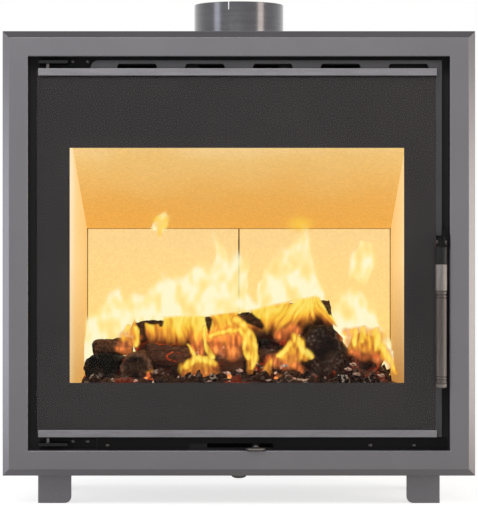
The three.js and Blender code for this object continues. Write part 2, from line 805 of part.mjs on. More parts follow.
function liningSide(side) {
  const outer = BODY_INSIDE - SEAM;
  const plan = [
    [clearHalf(BODY_FRONT), BODY_FRONT],
    [outer, BODY_FRONT],
    [outer, BODY_BACK],
    [LINING_BACK_HALF, BODY_BACK],
    [LINING_BACK_HALF, BACK_LINING_FACE],
  ];
  const placed = side > 0 ? plan : plan.map(([x, y]) => [-x, y]).reverse();
  const block = flatPlate(polygon(placed), LINING_BOTTOM, BODY_ROOF);
  return common(block, spaceUnderBaffle(BODY_FRONT, BODY_BACK, BODY_HALF));
}

function liningBack(side) {
  const near = BACK_JOINT / 2;
  const far = LINING_BACK_HALF - LINING_JOINT;
  const x = [side * near, side * far].sort((a, b) => a - b);
  const panel = block(x, [BACK_LINING_FACE, BODY_BACK], [LINING_BOTTOM, BODY_ROOF]);
  return common(panel, spaceUnderBaffle(BACK_LINING_FACE - 1, BODY_BACK, BODY_HALF));
}

function baffleBoard() {
  const rise = BAFFLE_THICKNESS / Math.cos(BAFFLE_SLOPE);
  const profile = polygon([
    [BAFFLE_FRONT, underBaffle(BAFFLE_FRONT)],
    [BODY_BACK, underBaffle(BODY_BACK)],
    [BODY_BACK, underBaffle(BODY_BACK) + rise],
    [BAFFLE_FRONT, underBaffle(BAFFLE_FRONT) + rise],
  ]);
  const half = BODY_INSIDE - 2 * SEAM;
  return sidePlate(profile, -half, half);
}

function hearthSide(side) {
  const front = BODY_FRONT + SEAM;
  const back = BACK_LINING_FACE - SEAM;
  const inner = GRATE_HALF_WIDTH + SEAM;
  const plan = [
    [inner, front],
    [clearHalf(front) - SEAM, front],
    [clearHalf(back) - SEAM, back],
    [inner, back],
  ];
  const placed = side > 0 ? plan : plan.map(([x, y]) => [-x, y]).reverse();
  return flatPlate(polygon(placed), LINING_BOTTOM, HEARTH_TOP);
}

function hearthFront() {
  return block(
    [-GRATE_HALF_WIDTH, GRATE_HALF_WIDTH],
    [BODY_FRONT + SEAM, GRATE_FRONT - SEAM],
    [LINING_BOTTOM, HEARTH_TOP],
  );
}

function hearthBack() {
  return block(
    [-GRATE_HALF_WIDTH, GRATE_HALF_WIDTH],
    [GRATE_BACK + SEAM, BACK_LINING_FACE - SEAM],
    [LINING_BOTTOM, HEARTH_TOP],
  );
}

// ---- Grate, ash well and ash pan ----

function grate() {
  const outline = rectangle({
    left: -GRATE_HALF_WIDTH,
    right: GRATE_HALF_WIDTH,
    bottom: GRATE_FRONT,
    top: GRATE_BACK,
  });
  const each = Math.floor((GRATE_HALF_WIDTH - GRATE_RIM - GRATE_SLOT / 2) / GRATE_PITCH);
  const slots = [];
  for (let n = -each; n <= each; n++) {
    slots.push(
      rectangle({
        left: n * GRATE_PITCH - GRATE_SLOT / 2,
        right: n * GRATE_PITCH + GRATE_SLOT / 2,
        bottom: GRATE_FRONT + GRATE_RIM,
        top: GRATE_BACK - GRATE_RIM,
      }),
    );
  }
  return flatPlate(withHoles(outline, ...slots), LINING_BOTTOM, GRATE_TOP);
}

function wellInside() {
  return {
    left: -FLOOR_HOLE_HALF - WELL_MARGIN,
    right: FLOOR_HOLE_HALF + WELL_MARGIN,
    bottom: FLOOR_HOLE_FRONT - WELL_MARGIN,
    top: FLOOR_HOLE_BACK + WELL_MARGIN,
  };
}

function ashWell() {
  const inside = wellInside();
  const outline = rectangle(grown(inside, WELL_SHEET));
  const bottom = BASE_TOP + SEAM;
  const well = flatPlate(
    withHoles(outline, rectangle(inside)),
    bottom,
    HEARTH_PLATE_HEIGHT - SEAM,
  );
  const vent = block(
    [-WELL_VENT_HALF, WELL_VENT_HALF],
    [inside.bottom - WELL_SHEET - 1, inside.bottom + 1],
    [HEARTH_PLATE_HEIGHT - WELL_VENT_HEIGHT - PLATE, HEARTH_PLATE_HEIGHT - PLATE],
  );
  return cut(well, vent);
}

// The pan tapers to its floor, so that it lifts out by its rim.
function ashPan() {
  const rim = grown(wellInside(), -PAN_GAP);
  const floor = grown(rim, -PAN_DRAFT);
  const z = BASE_TOP + SEAM;
  const ring = ({ left, right, bottom, top }, inset, height) => [
    new THREE.Vector3(left + inset, bottom + inset, height),
    new THREE.Vector3(right - inset, bottom + inset, height),
    new THREE.Vector3(right - inset, top - inset, height),
    new THREE.Vector3(left + inset, top - inset, height),
  ];
  return skin([
    ring(floor, 0, z),
    ring(rim, 0, z + PAN_HEIGHT),
    ring(rim, PAN_SHEET, z + PAN_HEIGHT),
    ring(floor, PAN_SHEET, z + PAN_SHEET),
  ]);
}

// ---- Hinges, latch keeper and feet ----

// A tongue with the pin's hole, bent up or down into a plate that is screwed to the front plate.
function hingeBracket(above) {
  const out = above ? 1 : -1;
  const edge = above ? DOOR.top : DOOR.bottom;
  const z0 = edge + out * HINGE_TONGUE_GAP;
  const tongueZ = [z0, z0 + out * HINGE_TONGUE].sort((a, b) => a - b);
  const plateZ = [z0 - out * HINGE_PLATE_OVER, z0 + out * (HINGE_TONGUE + HINGE_PLATE_OVER)];
  const outline = rectangle({
    left: HINGE_X - HINGE_TONGUE_LEFT,
    right: HINGE_X + HINGE_TONGUE_RIGHT,
    bottom: HINGE_TONGUE_FRONT,
    top: RECESS_BACK,
  });
  const hole = circle(HINGE_X, HINGE_DEPTH, HINGE_PIN / 2 + PIN_CLEARANCE);
  const plate = block(
    [HINGE_X - HINGE_TONGUE_LEFT, HINGE_X + HINGE_PLATE_RIGHT],
    [RECESS_BACK - HINGE_PLATE, RECESS_BACK],
    plateZ.sort((a, b) => a - b),
  );
  return joined(flatPlate(withHoles(outline, hole), ...tongueZ), plate);
}

function hingePin(above) {
  const length = HINGE_TONGUE_GAP + HINGE_TONGUE + RUNNING_GAP - SEAM;
  const start = above ? DOOR.top + SEAM : DOOR.bottom - SEAM - length;
  const radius = HINGE_PIN / 2;
  return turned(
    [
      [0, start],
      [radius, start],
      [radius, start + length],
      [0, start + length],
    ],
    20,
  ).translate(HINGE_X, HINGE_DEPTH, 0);
}

function latchKeeper() {
  const low = PIVOT_HEIGHT + LEVER_TAIL_HEIGHT / 2 + RUNNING_GAP;
  const profile = polygon([
    [RECESS_BACK - KEEPER_REACH, low],
    [RECESS_BACK, low],
    [RECESS_BACK, low + KEEPER_HEIGHT],
    [RECESS_BACK - KEEPER_SHEET, low + KEEPER_HEIGHT],
    [RECESS_BACK - KEEPER_SHEET, low + KEEPER_SHEET],
    [RECESS_BACK - KEEPER_REACH, low + KEEPER_SHEET],
  ]);
  return sidePlate(profile, HANDLE_X - KEEPER_HALF_WIDTH, HANDLE_X + KEEPER_HALF_WIDTH);
}

// A foot is an angle: its face has a rounded inner corner and its flange lies against the casing.
function foot(side, width, depth, flangeForward) {
  const outer = CASING_INSIDE - SEAM;
  const top = BODY_BASE - SEAM;
  const face = new THREE.Shape();
  face.moveTo(outer, 0);
  face.lineTo(outer, top);
  face.lineTo(outer - width, top);
  face.lineTo(outer - width, FOOT_CORNER);
  face.absarc(outer - width + FOOT_CORNER, FOOT_CORNER, FOOT_CORNER, Math.PI, 1.5 * Math.PI);
  const y0 = flangeForward ? depth + FOOT_FLANGE - FOOT_SHEET : depth;
  const flange = block([outer - FOOT_SHEET, outer], [depth, depth + FOOT_FLANGE], [0, top]);
  const right = joined(uprightPlate(face, y0, y0 + FOOT_SHEET), flange);
  return side > 0 ? right : mirrored(right);
}

// A solid mirrored in the plane x = 0, with its faces turned to point out again.
function mirrored(geometry) {
  const copy = geometry.clone().scale(-1, 1, 1);
  const index = copy.index.array;
  for (let i = 0; i < index.length; i += 3) {
    [index[i + 1], index[i + 2]] = [index[i + 2], index[i + 1]];
  }
  copy.computeVertexNormals();
  return copy;
}

// ---- Door ----

function combSlot(centre) {
  const bottom = DOOR.top + CLAMP_RETURN;
  return polygon([
    [centre - COMB_SLOT_FOOT / 2, bottom],
    [centre + COMB_SLOT_FOOT / 2, bottom],
    [centre + COMB_SLOT_HEAD / 2 + 1, bottom + COMB_SLOT_HEIGHT - 1.5],
    [centre + COMB_SLOT_HEAD / 2 - 1, bottom + COMB_SLOT_HEIGHT],
    [centre - COMB_SLOT_HEAD / 2 + 1, bottom + COMB_SLOT_HEIGHT],
    [centre - COMB_SLOT_HEAD / 2 - 1, bottom + COMB_SLOT_HEIGHT - 1.5],
  ]);
}

// The door's sheet, with the slotted comb standing along its top.
function doorSheetOutline() {
  const top = OPENING.top - COMB_GAP;
  const rise = top - DOOR.top;
  const outline = new THREE.Shape();
  outline.moveTo(DOOR.left, DOOR.bottom);
  outline.lineTo(DOOR.right, DOOR.bottom);
  outline.lineTo(DOOR.right, top);
  outline.lineTo(COMB_LEFT + rise, top);
  outline.quadraticCurveTo(COMB_LEFT, top, COMB_LEFT, DOOR.top);
  outline.lineTo(DOOR.left, DOOR.top);
  const slots = [];
  for (let n = 0; n < COMB_SLOT_COUNT; n++) slots.push(combSlot(COMB_SLOT_FIRST + n * COMB_SLOT_PITCH));
  return withHoles(outline, rectangle(WINDOW), ...slots);
}

function doorFrame() {
  const sheet = uprightPlate(doorSheetOutline(), SHEET_FACE, SHEET_BACK);
  const flange = mitredRing(bar(SHEET_FACE, DOOR_BACK, DOOR_SHEET), DOOR);
  const gasketBar = mitredRing(bar(SHEET_FACE, DOOR_BACK, GASKET_BAR), GASKET_BAR_RING);
  const notch = block(
    [DOOR.right - NOTCH_DEPTH, DOOR.right + 1],
    [SHEET_FACE - 1, DOOR_BACK + 1],
    [PIVOT_HEIGHT - NOTCH_BELOW, NOTCH_TOP],
  );
  return cut(joined(sheet, flange, gasketBar), notch);
}

function doorGlass() {
  return uprightPlate(roundedRectangle(GLAZING, GLASS_CORNER), DOOR_SETBACK, GLASS_BACK, 3);
}

// A strip folded over the glass's edge.
function glassClamp(above) {
  const out = above ? 1 : -1;
  const edge = (above ? GLAZING.top : GLAZING.bottom) + out * SEAM;
  const back = SHEET_FACE - SEAM;
  const front = DOOR_SETBACK - SEAM - CLAMP_THICKNESS;
  const outer = edge + out * CLAMP_RETURN;
  const inner = outer - out * CLAMP_HEIGHT;
  const points = [
    [front, inner],
    [front + CLAMP_THICKNESS, inner],
    [front + CLAMP_THICKNESS, edge],
    [back, edge],
    [back, outer],
    [front, outer],
  ];
  return sidePlate(
    polygon(above ? points : points.reverse()),
    GLAZING.left + CLAMP_LEFT_INSET,
    GLAZING.right + CLAMP_RIGHT_OVERHANG,
  );
}

function doorGasket() {
  return mitredRing(bar(DOOR_BACK + SEAM, RECESS_BACK, GASKET_WIDTH), GASKET_RING);
}

function handleBracket() {
  const boss = PIVOT_BOSS - 1;
  const ear = new THREE.Shape();
  ear.moveTo(DOOR_BACK, NOTCH_TOP);
  ear.lineTo(DOOR_BACK, NOTCH_TOP + BRACKET_FOOT);
  ear.lineTo(SHEET_FACE, NOTCH_TOP + BRACKET_FOOT);
  ear.lineTo(PIVOT_DEPTH - boss, PIVOT_HEIGHT + boss);
  ear.absarc(PIVOT_DEPTH, PIVOT_HEIGHT, boss, Math.PI, 2 * Math.PI);
  ear.lineTo(RECESS_BACK - KEEPER_REACH - 2 * RUNNING_GAP, NOTCH_TOP); // in front of the keeper
  const hole = circle(PIVOT_DEPTH, PIVOT_HEIGHT, PIVOT_PIN / 2 + PIN_CLEARANCE);
  const x = DOOR.right + SEAM;
  return sidePlate(withHoles(ear, hole), x, x + BRACKET_SHEET);
}

function handlePivotPin() {
  const lever = LEVER_THICKNESS / 2;
  const left = HANDLE_X - lever - SEAM;
  const right = DOOR.right + 2 * SEAM + BRACKET_SHEET;
  const pin = turned(
    [
      [0, left - PIVOT_HEAD_THICKNESS],
      [PIVOT_HEAD / 2, left - PIVOT_HEAD_THICKNESS],
      [PIVOT_HEAD / 2, left],
      [PIVOT_PIN / 2, left],
      [PIVOT_PIN / 2, right],
      [PIVOT_HEAD / 2, right],
      [PIVOT_HEAD / 2, right + PIVOT_HEAD_THICKNESS],
      [0, right + PIVOT_HEAD_THICKNESS],
    ],
    20,
  );
  return pin.rotateY(Math.PI / 2).translate(0, PIVOT_DEPTH, PIVOT_HEIGHT);
}

// ---- Handle ----

// The lever turns on the pin: its tail goes under the keeper and its rod carries the grip.
function latchLever() {
  const half = LEVER_TAIL_HEIGHT / 2;
  const stem = LEVER_THICKNESS / 2;
  const body = new THREE.Shape();
  body.moveTo(-HANDLE_REACH - stem, FERRULE_TOP + SEAM);
  body.lineTo(-HANDLE_REACH + stem, FERRULE_TOP + SEAM);
  body.lineTo(-HANDLE_REACH + 2 * stem, PIVOT_HEIGHT - PIVOT_BOSS);
  body.lineTo(PIVOT_DEPTH, PIVOT_HEIGHT - PIVOT_BOSS);
  body.lineTo(PIVOT_DEPTH + PIVOT_BOSS, PIVOT_HEIGHT - half);
  body.lineTo(PIVOT_DEPTH + LEVER_TAIL - 2, PIVOT_HEIGHT - half);
  body.lineTo(PIVOT_DEPTH + LEVER_TAIL, PIVOT_HEIGHT - half + 2);
  body.lineTo(PIVOT_DEPTH + LEVER_TAIL, PIVOT_HEIGHT + half - 2);
  body.lineTo(PIVOT_DEPTH + LEVER_TAIL - 2, PIVOT_HEIGHT + half);
  body.lineTo(PIVOT_DEPTH + PIVOT_BOSS, PIVOT_HEIGHT + half);
  body.lineTo(PIVOT_DEPTH, PIVOT_HEIGHT + PIVOT_BOSS);
  body.lineTo(-HANDLE_REACH + 2 * stem, PIVOT_HEIGHT + half);
  body.lineTo(-HANDLE_REACH - stem, PIVOT_HEIGHT - half);
  const hole = circle(PIVOT_DEPTH, PIVOT_HEIGHT, PIVOT_PIN / 2 + PIN_CLEARANCE);
  const plate = sidePlate(
    withHoles(body, hole),
    HANDLE_X - LEVER_THICKNESS / 2,
    HANDLE_X + LEVER_THICKNESS / 2,
  );
  const bottom = END_CAP_TOP - END_CAP_LENGTH + END_CAP_FLOOR + SEAM;
  const radius = HANDLE_ROD / 2;
  const hub = HUB_DIAMETER / 2;
  const hubTop = PIVOT_HEIGHT - HUB_TOP_DROP;
  const rod = turned(
    [
      [0, bottom],
      [radius, bottom],
      [radius, FERRULE_TOP + SEAM],
      [hub, FERRULE_TOP + SEAM],
      [hub, hubTop - 2],
      [hub - 2, hubTop],
      [0, hubTop],
    ],
    24,
  ).translate(HANDLE_X, -HANDLE_REACH, 0);
  return joined(plate, rod);
}

function sleeve(profile) {
  const bore = HANDLE_ROD / 2 + SEAM;
  const closed = [[bore, profile[0][1]], ...profile, [bore, profile.at(-1)[1]]];
  return turned([...closed, closed[0]], 24).translate(HANDLE_X, -HANDLE_REACH, 0);
}

function handleFerrule() {
  const radius = FERRULE_DIAMETER / 2;
  const bottom = FERRULE_TOP - FERRULE_LENGTH;
  return sleeve([
    [radius - HANDLE_EASE, bottom],
    [radius, bottom + HANDLE_EASE],
    [radius, FERRULE_TOP - HANDLE_EASE],
    [radius - HANDLE_EASE, FERRULE_TOP],
  ]);
}

function handleGrip() {
  const radius = GRIP_DIAMETER / 2;
  const bottom = GRIP_TOP - GRIP_LENGTH;
  const low = GRIP_RING_INSETS.map((inset) => bottom + inset);
  const high = GRIP_RING_INSETS.map((inset) => GRIP_TOP - inset).reverse();
  const ring = (z) => [
    [radius, z - GRIP_RING_WIDTH / 2],
    [radius - GRIP_RING, z - GRIP_RING_WIDTH / 4],
    [radius - GRIP_RING, z + GRIP_RING_WIDTH / 4],
    [radius, z + GRIP_RING_WIDTH / 2],
  ];
  return sleeve([
    [radius - HANDLE_EASE, bottom],
    [radius, bottom + HANDLE_EASE],
    ...[...low, ...high].flatMap(ring),
    [radius, GRIP_TOP - HANDLE_EASE],
    [radius - HANDLE_EASE, GRIP_TOP],
  ]);
}

function handleEndCap() {
  const radius = GRIP_DIAMETER / 2;
  const bottom = END_CAP_TOP - END_CAP_LENGTH;
  const bore = HANDLE_ROD / 2 + SEAM;
  return turned(
    [
      [0, bottom],
      [radius - 2, bottom],
      [radius, bottom + 2],
      [radius, END_CAP_TOP],
      [bore, END_CAP_TOP],
      [bore, bottom + END_CAP_FLOOR],
      [0, bottom + END_CAP_FLOOR],
    ],
    24,
  ).translate(HANDLE_X, -HANDLE_REACH, 0);
}

// ---- Air control ----

// The slide, its riser behind the front plate and the strip that comes out through the slot.
function airSlide() {
  const riser = PLATE_BACK + RUNNING_GAP;
  const plate = withHoles(
    rectangle({
      left: SLIDE_REST_X - SLIDE_HALF_LENGTH,
      right: SLIDE_REST_X + SLIDE_HALF_LENGTH,
      bottom: SLIDE_FRONT,
      top: SLIDE_FRONT + SLIDE_DEPTH,
    }),
    ...ports(SLIDE_REST_X),
  );
  const neck = sidePlate(
    polygon([
      [SLIDE_FRONT + 1, SLIDE_TOP],
      [riser, SLIDE_TOP],
      [riser, STRIP_TOP],
      [KNOB_DEPTH, STRIP_TOP],
      [KNOB_DEPTH, STRIP_BOTTOM],
      [riser + LEVER_STRIP_SHEET, STRIP_BOTTOM],
      [riser + LEVER_STRIP_SHEET, SLIDE_TOP - SLIDE_SHEET],
      [SLIDE_FRONT + 1, SLIDE_TOP - SLIDE_SHEET],
    ]),
    SLIDE_REST_X - LEVER_STRIP / 2,
    SLIDE_REST_X + LEVER_STRIP / 2,
  );
  const tip = flatPlate(circle(SLIDE_REST_X, KNOB_DEPTH, LEVER_STRIP / 2), STRIP_BOTTOM, STRIP_TOP);
  const hole = flatPlate(
    circle(SLIDE_REST_X, KNOB_DEPTH, KNOB_SHANK / 2 + SEAM),
    STRIP_BOTTOM - 1,
    STRIP_TOP + 1,
  );
  return cut(joined(flatPlate(plate, SLIDE_TOP - SLIDE_SHEET, SLIDE_TOP), neck, tip), hole);
}

function airKnob() {
  const radius = KNOB_DIAMETER / 2;
  const top = KNOB_BOTTOM + KNOB_THICKNESS;
  const head = STRIP_TOP + SEAM;
  return turned(
    [
      [0, KNOB_BOTTOM],
      [radius - 1.4, KNOB_BOTTOM],
      [radius, KNOB_BOTTOM + 1],
      [radius, top - 1],
      [radius - 1.4, top],
      [KNOB_SHANK / 2, top],
      [KNOB_SHANK / 2, head],
      [KNOB_SCREW / 2, head],
      [KNOB_SCREW / 2, head + KNOB_SCREW_HEIGHT - 0.6],
      [KNOB_SCREW / 2 - 0.8, head + KNOB_SCREW_HEIGHT],
      [0, head + KNOB_SCREW_HEIGHT],
    ],
    28,
  ).translate(SLIDE_REST_X, KNOB_DEPTH, 0);
}

// ---- Fuel ----

// Each log runs from one end to the other, with its radius there and how it is squashed. An end is
// given from a side lining at the back, from the front of the hearth and from the hearth up. Its first
// number is positive from the left lining and negative from the right one.
const LOGS = {
  log_left_outer: { from: [33, 48, 29], to: [48, 214, 27], r: [27, 24], seed: 1.1 },
  log_left_inner: { from: [93, 42, 31], to: [99, 202, 28], r: [28, 24], seed: 2.7 },
  log_low: { from: [124, 90, 22], to: [270, 102, 24], r: [19, 20], seed: 4.2 },
  log_right_front: { from: [-120, 52, 54], to: [-134, 214, 50], r: [35, 32], seed: 0.4, stretch: 1.45 },
  log_right_outer: { from: [-50, 72, 46], to: [-56, 222, 44], r: [31, 28], seed: 3.3, stretch: 1.25 },
  log_middle: { from: [110, 64, 53], to: [184, 74, 46], r: [16, 17], seed: 5.6 },
  log_back: { from: [86, 184, 74], to: [-106, 166, 112], r: [31, 36], seed: 6.1 },
  branch_left: { from: [22, 102, 61], to: [82, 112, 64], r: [12, 13], seed: 7.4 },
};

function onHearth([across, deep, up]) {
  const x = across - Math.sign(across) * LINING_BACK_HALF;
  return new THREE.Vector3(x, BODY_FRONT + deep, HEARTH_TOP + up);
}

// An irregular round of wood, with its skin moved out by extra.
function logShape({ from, to, r, seed, stretch = 1 }, extra = 0) {
  const start = onHearth(from);
  const end = onHearth(to);
  const along = end.clone().sub(start).normalize();
  const across = new THREE.Vector3(0, 0, 1).cross(along).normalize();
  const up = along.clone().cross(across);
  const rings = [];
  for (let i = 0; i <= LOG_RINGS; i++) {
    const t = i / LOG_RINGS;
    const end01 = i === 0 || i === LOG_RINGS;
    const centre = start.clone().lerp(end, t).addScaledVector(along, extra * (2 * t - 1));
    const size = (r[0] + (r[1] - r[0]) * t) * (end01 ? 0.93 : 1);
    const ring = [];
    for (let j = 0; j < LOG_SIDES; j++) {
      const a = (2 * Math.PI * j) / LOG_SIDES;
      const rough =
        1 +
        0.08 * Math.sin(2 * a + seed + 1.3 * t) +
        0.05 * Math.sin(3 * a + 1.7 * seed - 2.1 * t) +
        0.035 * Math.sin(5 * a + 2.9 * seed + 4 * t);
      const radius = size * rough + extra;
      ring.push(
        centre
          .clone()
          .addScaledVector(across, radius * Math.cos(a))
          .addScaledVector(up, radius * stretch * Math.sin(a)),
      );
    }
    rings.push(ring);
  }
  return skin(rings);
}

// Logs are laid in order: each settles into the ones under it.
function logs() {
  const laid = [];
  return Object.entries(LOGS).map(([name, log]) => {
    const shape = laid.length ? cut(logShape(log), ...laid) : logShape(log);
    laid.push(logShape(log, LOG_SEAT));
    return piece(name, "char", shape);
  });
}

// Height of the embers over the hearth.
function emberHeight(x, y) {
  const u = x / EMBER_HALF_WIDTH;
  const v = (2 * (y - EMBER_FRONT)) / (EMBER_BACK - EMBER_FRONT) - 1;
  const mound = (1 - u ** 6) * (1 - v ** 6);
  const lumps = Math.sin(x / 9.5 + Math.sin(y / 14)) * Math.sin(y / 8.3 + Math.sin(x / 21));
  const slope = Math.max(0, 1 - ((y - HEAP_DEPTH) / HEAP_HALF) ** 2);
  const crest = HEAP_LEFT + ((HEAP_RIGHT - HEAP_LEFT) * (u + 1)) / 2;
  const heap = (crest - EMBER_MOUND) * slope * (1 - u ** 4);
  return EMBER_BASE + mound * (EMBER_MOUND + EMBER_LUMP * lumps) + heap;
}

// A bed of embers over the hearth, with its underside sunk into the grate's recess.
function emberBed() {
  const across = 44;
  const deep = 20;
  const bottom = HEARTH_TOP + SEAM;
  const points = [];
  for (const top of [false, true]) {
    for (let j = 0; j <= deep; j++) {
      for (let i = 0; i <= across; i++) {
        const x = EMBER_HALF_WIDTH * ((2 * i) / across - 1);
        const y = EMBER_FRONT + ((EMBER_BACK - EMBER_FRONT) * j) / deep;
        points.push(new THREE.Vector3(x, y, bottom + (top ? emberHeight(x, y) : 0)));
      }
    }
  }
  const at = (i, j, top) => (top ? (across + 1) * (deep + 1) : 0) + j * (across + 1) + i;
  const faces = [];
  const quad = (a, b, c, d) => faces.push(a, b, c, a, c, d);
  for (let j = 0; j < deep; j++) {
    for (let i = 0; i < across; i++) {
      quad(at(i, j, true), at(i + 1, j, true), at(i + 1, j + 1, true), at(i, j + 1, true));
      quad(at(i, j, false), at(i, j + 1, false), at(i + 1, j + 1, false), at(i + 1, j, false));
    }
    quad(at(across, j, false), at(across, j + 1, false), at(across, j + 1, true), at(across, j, true));
    quad(at(0, j + 1, false), at(0, j, false), at(0, j, true), at(0, j + 1, true));
  }
  for (let i = 0; i < across; i++) {
    quad(at(i, 0, false), at(i + 1, 0, false), at(i + 1, 0, true), at(i, 0, true));
    quad(at(i + 1, deep, false), at(i, deep, false), at(i, deep, true), at(i + 1, deep, true));
  }
  const bed = new THREE.BufferGeometry().setFromPoints(points);
  bed.setIndex(faces);
  const plug = block(
    [-GRATE_HALF_WIDTH + SEAM, GRATE_HALF_WIDTH - SEAM],
    [GRATE_FRONT + SEAM, GRATE_BACK - SEAM],
    [GRATE_TOP + SEAM, bottom + EMBER_BASE / 2],
  );
  return cut(joined(bed, plug), ...Object.values(LOGS).map((log) => logShape(log, LOG_SEAT)));
}

// ---- Assembly ----

const shell = assembly(
  piece("front_frame", "greyPaint", frontFrame()),
  piece("recess_liner", "blackPaint", recessLiner()),
  piece("front_plate", "blackPaint", frontPlate()),
  piece("lower_fascia", "blackPaint", lowerFascia()),
  piece("frame_clip", "blackPaint", frameClip()),
  piece("frame_clip_bolt", "darkSteel", frameClipBolt()),
  piece("body_left_plate", "blackPaint", bodySidePlate(-1)),
  piece("body_right_plate", "blackPaint", bodySidePlate(1)),
  piece("body_back_plate", "blackPaint", bodyBackPlate()),
  piece("body_top_plate", "blackPaint", bodyTopPlate()),
  piece("body_base_plate", "blackPaint", bodyBasePlate()),
  piece("body_floor_plate", "blackPaint", bodyFloorPlate()),
  piece("flue_collar", "brushedSteel", flueCollar()),
  piece("casing_left", "galvanised", casingSide(-1)),
  piece("casing_right", "galvanised", casingSide(1)),
  piece("casing_back", "galvanised", casingBack()),
  piece("casing_top", "galvanised", casingTop()),
  piece("hinge_bracket_top", "blackPaint", hingeBracket(true)),
  piece("hinge_bracket_bottom", "blackPaint", hingeBracket(false)),
  piece("latch_keeper", "blackPaint", latchKeeper()),
  piece("foot_front_left", "greyPaint", foot(-1, FOOT_WIDTH, FRONT_FOOT_DEPTH, false)),
  piece("foot_front_right", "greyPaint", foot(1, FOOT_WIDTH, FRONT_FOOT_DEPTH, false)),
  piece("foot_rear_left", "greyPaint", foot(-1, REAR_FOOT_WIDTH, REAR_FOOT_DEPTH, true)),
  piece("foot_rear_right", "greyPaint", foot(1, REAR_FOOT_WIDTH, REAR_FOOT_DEPTH, true)),
);

const firebox = assembly(
  piece("lining_left", "vermiculite", liningSide(-1)),
  piece("lining_right", "vermiculite", liningSide(1)),
  piece("lining_back_left", "vermiculite", liningBack(-1)),
  piece("lining_back_right", "vermiculite", liningBack(1)),
  piece("baffle_board", "vermiculite", baffleBoard()),
  piece("hearth_board_left", "vermiculite", hearthSide(-1)),
  piece("hearth_board_right", "vermiculite", hearthSide(1)),
  piece("hearth_board_front", "vermiculite", hearthFront()),
  piece("hearth_board_back", "vermiculite", hearthBack()),
  piece("grate", "castIron", grate()),
  piece("ash_well", "blackPaint", ashWell()),
  piece("ash_pan", "galvanised", ashPan()),
);

const fuel = assembly(piece("ember_bed", "ember", emberBed()), logs());

const handle = assembly(
  piece("latch_lever", "blackPaint", latchLever()),
  piece("handle_ferrule", "chrome", handleFerrule()),
  piece("handle_grip", "darkSteel", handleGrip()),
  piece("handle_end_cap", "chrome", handleEndCap()),
);

const door = assembly(
  piece("door_frame", "blackPaint", doorFrame()),
  piece("door_glass", "glass", doorGlass()),
  piece("glass_clamp_top", "clampSteel", glassClamp(true)),
  piece("glass_clamp_bottom", "clampSteel", glassClamp(false)),
  piece("door_gasket", "gasket", doorGasket()),
  piece("handle_bracket", "blackPaint", handleBracket()),
  piece("handle_pivot_pin", "darkSteel", handlePivotPin()),
  piece("hinge_pin_top", "chrome", hingePin(true)),
  piece("hinge_pin_bottom", "chrome", hingePin(false)),
);

const airControl = assembly(
  piece("air_slide", "darkSteel", airSlide()),
  piece("air_knob", "chrome", airKnob()),
);

// The origin is on the floor, under the middle of the whole insert.
const insert = assembly(shell, firebox, fuel, door, handle, airControl);
insert.position.y = -CENTRE_Y;
const group = new THREE.Group();
group.add(insert);

export default group;
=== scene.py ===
"""A wood-burning fireplace insert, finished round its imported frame: painted sheet, brushed and
polished steel, enamelled glass, vermiculite boards, charred logs, embers and flames.

Metres, +Z up. Depths in the comments are measured back from the face of the front frame.
"""

import json
import math
import random

import bmesh
import bpy
from mathutils import Matrix, Vector, noise

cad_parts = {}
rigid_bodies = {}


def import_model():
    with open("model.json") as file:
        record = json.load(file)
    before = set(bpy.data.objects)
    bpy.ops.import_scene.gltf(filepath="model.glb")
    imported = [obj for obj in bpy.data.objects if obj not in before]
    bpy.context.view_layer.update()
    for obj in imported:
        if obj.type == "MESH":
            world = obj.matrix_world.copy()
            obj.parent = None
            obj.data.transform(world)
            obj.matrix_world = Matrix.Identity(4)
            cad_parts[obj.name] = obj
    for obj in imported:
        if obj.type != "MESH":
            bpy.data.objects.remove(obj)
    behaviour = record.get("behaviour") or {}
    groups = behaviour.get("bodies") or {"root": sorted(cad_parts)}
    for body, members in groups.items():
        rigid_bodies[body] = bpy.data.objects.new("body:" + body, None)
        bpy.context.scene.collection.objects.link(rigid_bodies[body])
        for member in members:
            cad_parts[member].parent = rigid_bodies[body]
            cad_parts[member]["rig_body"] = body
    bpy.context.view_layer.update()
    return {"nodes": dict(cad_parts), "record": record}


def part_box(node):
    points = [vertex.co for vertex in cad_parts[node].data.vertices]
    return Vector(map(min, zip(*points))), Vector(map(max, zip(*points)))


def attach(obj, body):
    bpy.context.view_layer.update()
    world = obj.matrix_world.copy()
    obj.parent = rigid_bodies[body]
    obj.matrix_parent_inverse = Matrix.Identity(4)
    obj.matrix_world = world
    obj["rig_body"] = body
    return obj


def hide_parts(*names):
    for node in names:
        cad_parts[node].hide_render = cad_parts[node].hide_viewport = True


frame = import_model()

MM = 0.001
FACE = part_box("front_frame")[0].y
SLOT_OF = {row["node"]: row["material_slot"] for row in frame["record"]["subparts"]}


def depth(millimetres):
    """The y of a point so far behind the front frame's face."""
    return FACE + millimetres * MM


# ---- The photograph's view ----

PHOTO_WIDTH = 478
PHOTO_HEIGHT = 508
FRAME_CENTRE_PX = (238.9, 253.4)
VIEW_DISTANCE = 4.3
FOCAL_PX = 2681.0
SENSOR = 36.0


def middle(node):
    """The middle of a node's box."""
    low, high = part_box(node)
    return (low + high) / 2


def linked(name, data):
    """A new object in the scene that shows this mesh, lamp or camera."""
    made = bpy.data.objects.new(name, data)
    bpy.context.scene.collection.objects.link(made)
    return made


def mesh_from(shape, name):
    """The mesh of a bmesh, which is freed."""
    mesh = bpy.data.meshes.new(name)
    shape.to_mesh(mesh)
    shape.free()
    return mesh


